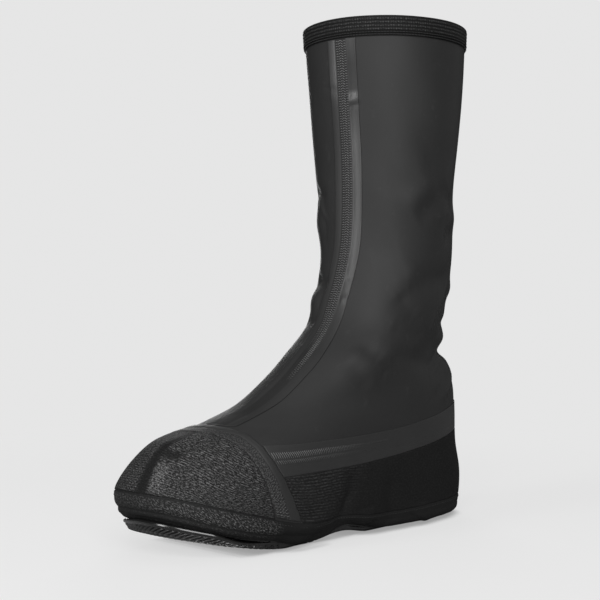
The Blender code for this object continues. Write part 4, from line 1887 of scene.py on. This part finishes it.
            # Rib crests take a lighter, matt colour: painted light on the ribs.
            matt_and_painted_light.append(toe * (1 - rib / self.rib_depth))
        middle, radius = low + 0.75 * (crown - low), np.minimum(self.bead, 0.25 * (crown - low))
        for share in np.linspace(0.06, 0.97, 18):
            lean = (0.25 + tip) * share + 0.7 * tuck * (1 - share) ** 1.5
            line = self.inset(tread, lean + side * (1 - share**2))
            line = self.at_height(line, low + share * (middle - radius - low))
            rib = self.ribs(run, 1.2 + share * (middle - radius - low), toe)
            rings.append(self.inset(line, rib * (1 - share**6)))
            # The same painted light on the rib crests, fading towards the bead.
            matt_and_painted_light.append(toe * (1 - rib / self.rib_depth) * (1 - 0.6 * share**4))
        for turn in np.linspace(-math.pi / 2, math.pi / 2, 9):
            line = self.inset(tread, tip - toe * radius * math.cos(turn))
            rings.append(self.at_height(line, middle + radius * math.sin(turn)))
            matt_and_painted_light.append(np.zeros_like(q))
        rings.append(self.at_height(rim, rim_top))
        rings.append(self.at_height(lip, lip_top))
        rings.append(self.at_height(self.inset(neck, 0.4), neck_top + 0.3))
        rings.append(self.at_height(self.inset(neck, 0.4), opening_z + self.wall + self.gap + 0.1))
        rings.append(self.at_height(plate, plate_low))
        rings.append(self.at_height(plate, plate_low + self.plate))
        rings.append(self.at_height(self.inset(plate, self.bed_edge), plate_low + self.plate))
        rings.append(self.at_height(self.inset(neck, self.bed_edge), opening_z + self.bed_height))
        matt_and_painted_light += [np.zeros_like(q)] * (len(rings) - len(matt_and_painted_light))
        return np.stack(rings), np.stack(matt_and_painted_light)

    def build(self) -> bpy.types.Object:
        """Makes the sole.

        Returns:
            The new object.
        """
        rings, matt_and_painted_light = self.rings()
        count = rings.shape[1]
        lie = np.zeros((len(rings), count + 1, 2))
        draft = Draft()
        draft.grid(rings, lie, matt_and_painted_light.ravel(), round_columns=True)
        j = np.arange(1, count // 2 - 1)
        rungs = np.stack([j, j + 1, count - j - 1, count - j], -1)
        top = rungs[:, ::-1] + (len(rings) - 1) * count
        both = np.concatenate([rungs, top])
        draft.face(both, np.zeros((*both.shape, 2)))
        made = draft.make("rubber_sole", [Finish.RUBBER.material()])
        self.close_ends(made.data)
        return made

    @staticmethod
    def close_ends(mesh: bpy.types.Mesh, sharp: float = 38.0) -> None:
        """Fills the small triangles at heel and toe and keeps edges crisp.

        Args:
            mesh: The sole's mesh.
            sharp: Degrees past which an edge is crisp.
        """
        edit = bmesh.new()
        edit.from_mesh(mesh)
        bmesh.ops.holes_fill(edit, edges=[edge for edge in edit.edges if edge.is_boundary], sides=4)
        bmesh.ops.recalc_face_normals(edit, faces=edit.faces)
        edit.to_mesh(mesh)
        edit.free()
        mesh.polygons.foreach_set("use_smooth", np.ones(len(mesh.polygons), bool))
        mesh.set_sharp_from_angle(angle=math.radians(sharp))

    def dress(self) -> None:
        """Places the sole on the part."""
        settle(self.build(), "sole", "sole")


class Light(NamedTuple):
    """A soft light: where it stands, its size and its power."""

    name: str
    stand: tuple[float, float, float]
    aim: tuple[float, float, float]
    width: float
    height: float
    watts: float


@dataclass
class Studio:
    """Floor, soft lights, backdrop and camera, in metres."""

    eye: tuple[float, float, float] = (0.6743, -0.6704, 0.1699)
    look: tuple[float, float, float] = (-0.7132, 0.7010, 0.0)
    lens: float = 77.02
    sensor: float = 36.0
    backdrop: float = 0.79
    ambient: float = 0.05
    floor_tone: float = 1.18
    floor_shade: float = 0.40
    floor_reach: float = 0.008
    floor_bounce: float = 0.30
    floor_glow: float = 0.80
    floor_radius: float = 8.0
    lights: tuple[Light, ...] = (
        Light("front_light", (1.15, -1.05, 0.75), (0.0, 0.0, 0.18), 1.3, 1.5, 26.0),
        Light("toe_light", (-0.20, -1.55, 0.55), (0.0, -0.02, 0.18), 0.40, 1.3, 10.0),
        Light("top_light", (0.05, 0.05, 1.9), (0.0, 0.0, 0.0), 1.8, 1.8, 6.0),
        Light("back_light", (0.30, 1.40, 0.50), (0.0, 0.05, 0.2), 0.2, 1.0, 0.8),
        Light("far_light", (-1.15, 1.15, 0.40), (0.0, 0.0, 0.18), 0.8, 0.8, 14.0),
    )

    def camera(self) -> None:
        """Makes the camera."""
        data = bpy.data.cameras.new("camera")
        data.lens = self.lens
        data.sensor_width = self.sensor
        data.clip_start = 0.01
        made = bpy.data.objects.new("camera", data)
        made.location = self.eye
        made.rotation_euler = Vector(self.look).to_track_quat("-Z", "Y").to_euler()
        bpy.context.scene.collection.objects.link(made)
        bpy.context.scene.camera = made

    def lamps(self) -> None:
        """Makes the lights."""
        for light in self.lights:
            data = bpy.data.lights.new(light.name, "AREA")
            data.shape = "RECTANGLE"
            data.size, data.size_y = light.width, light.height
            data.energy = light.watts
            made = bpy.data.objects.new(light.name, data)
            made.location = light.stand
            aim = Vector(light.aim) - Vector(light.stand)
            made.rotation_euler = aim.to_track_quat("-Z", "Y").to_euler()
            bpy.context.scene.collection.objects.link(made)

    def surroundings(self) -> None:
        """Makes the pale backdrop and the dimmer light that comes from it."""
        world = bpy.data.worlds.new("studio")
        bpy.context.scene.world = world
        net = Net(world)
        seen = net.value("ShaderNodeBackground", {}, {"Color": grey(self.backdrop)})
        lit = net.value("ShaderNodeBackground", {}, {"Color": grey(self.ambient)})
        camera = net.value("ShaderNodeLightPath", {}, {}, "Is Camera Ray")
        mixed = net.value("ShaderNodeMixShader", {}, {0: camera, 1: lit, 2: seen})
        net.node("ShaderNodeOutputWorld", {}, {"Surface": mixed})

    def floor(self) -> None:
        """Makes the floor, which fades into the backdrop away from the overshoe and has a painted contact
        shadow in its glow near it.
        """
        turn = np.arange(96) * 2 * math.pi / 96
        ring = np.stack([np.cos(turn), np.sin(turn), np.zeros(96)], -1) * self.floor_radius
        ring[:, 2] = -0.0003
        mesh = bpy.data.meshes.new("floor")
        mesh.from_pydata(ring.tolist(), [], [tuple(range(96))])
        made = bpy.data.objects.new("floor", mesh)
        bpy.context.scene.collection.objects.link(made)
        net = Net(bpy.data.materials.new("floor_paint"))
        place = net.value("ShaderNodeNewGeometry", {}, {}, "Position")
        away = net.value("ShaderNodeVectorMath", {"operation": "LENGTH"}, {0: place}, "Value")
        mottle = net.noise(place, 6.0, 2.0)
        colour = net.blend(mottle, grey(self.floor_tone), grey(self.floor_tone + 0.01))
        near = net.value("ShaderNodeBsdfDiffuse", {}, {"Color": colour})
        # Ambient occlusion darkens the floor's glow close to the overshoe: a painted contact shadow.
        reach = {"Distance": self.floor_reach}
        open_sky = net.value("ShaderNodeAmbientOcclusion", {"samples": 12}, reach, "AO")
        painted_shadow_glow = net.blend(open_sky.ramp(0.20, 0.95), grey(self.floor_shade), grey(self.backdrop))
        far = net.value("ShaderNodeEmission", {}, {"Color": painted_shadow_glow, "Strength": 1.0})
        share = away.ramp(0.28, 0.75) * (1.0 - self.floor_glow) + self.floor_glow
        seen = net.value("ShaderNodeMixShader", {}, {0: share, 1: near, 2: far})
        bounce = net.value("ShaderNodeBsdfDiffuse", {}, {"Color": grey(self.floor_bounce)})
        camera = net.value("ShaderNodeLightPath", {}, {}, "Is Camera Ray")
        mixed = net.value("ShaderNodeMixShader", {}, {0: camera, 1: bounce, 2: seen})
        net.node("ShaderNodeOutputMaterial", {}, {"Surface": mixed})
        mesh.materials.append(net.holder)

    def build(self) -> None:
        """Sets up the studio."""
        self.camera()
        self.lamps()
        self.surroundings()
        self.floor()
        view = bpy.context.scene.view_settings
        view.view_transform = "Standard"
        view.look = "None"


def main() -> None:
    """Builds the overshoe and its studio."""
    logging.basicConfig(level=logging.INFO, format="%(name)s %(message)s")
    folds = LEG_FOLDS + mirrored(LEG_FOLDS) + FRONT_FOLDS + TAPE_FOLDS
    folds += PANEL_FOLDS + mirrored(PANEL_FOLDS) + TOE_FOLDS
    form = Form(folds)
    Studio().build()
    Upper(form).dress()
    Sole(form).dress()
    ToeCap(form, "toe_knit", "toe_cap", Finish.TOE_KNIT, 84, 150, 0.55).dress()
    SidePanel(form, "heel_knit", "side_panel", Finish.RIB_KNIT, 100, 380, 0.55).dress()
    FrontTape(form, "front_seam_tape", "front_tape", Finish.FRONT_TAPE, 46, 330, 0.50, roll=0.4).dress()
    PanelTape(form, "panel_seam_tape", "panel_tape", Finish.PANEL_TAPE, 44, 300, 0.50, roll=0.6).dress()
    CapTape(form, "cap_seam_tape", "cap_tape", Finish.CAP_TAPE, 34, 200, 0.70).dress()
    Hem(form, "hem_casing", "hem", Finish.HEM_CLOTH, 44, 330, 0.60, closed=True).dress()
    CollarBinding(form).dress()


if __name__ == "__main__":
    main()
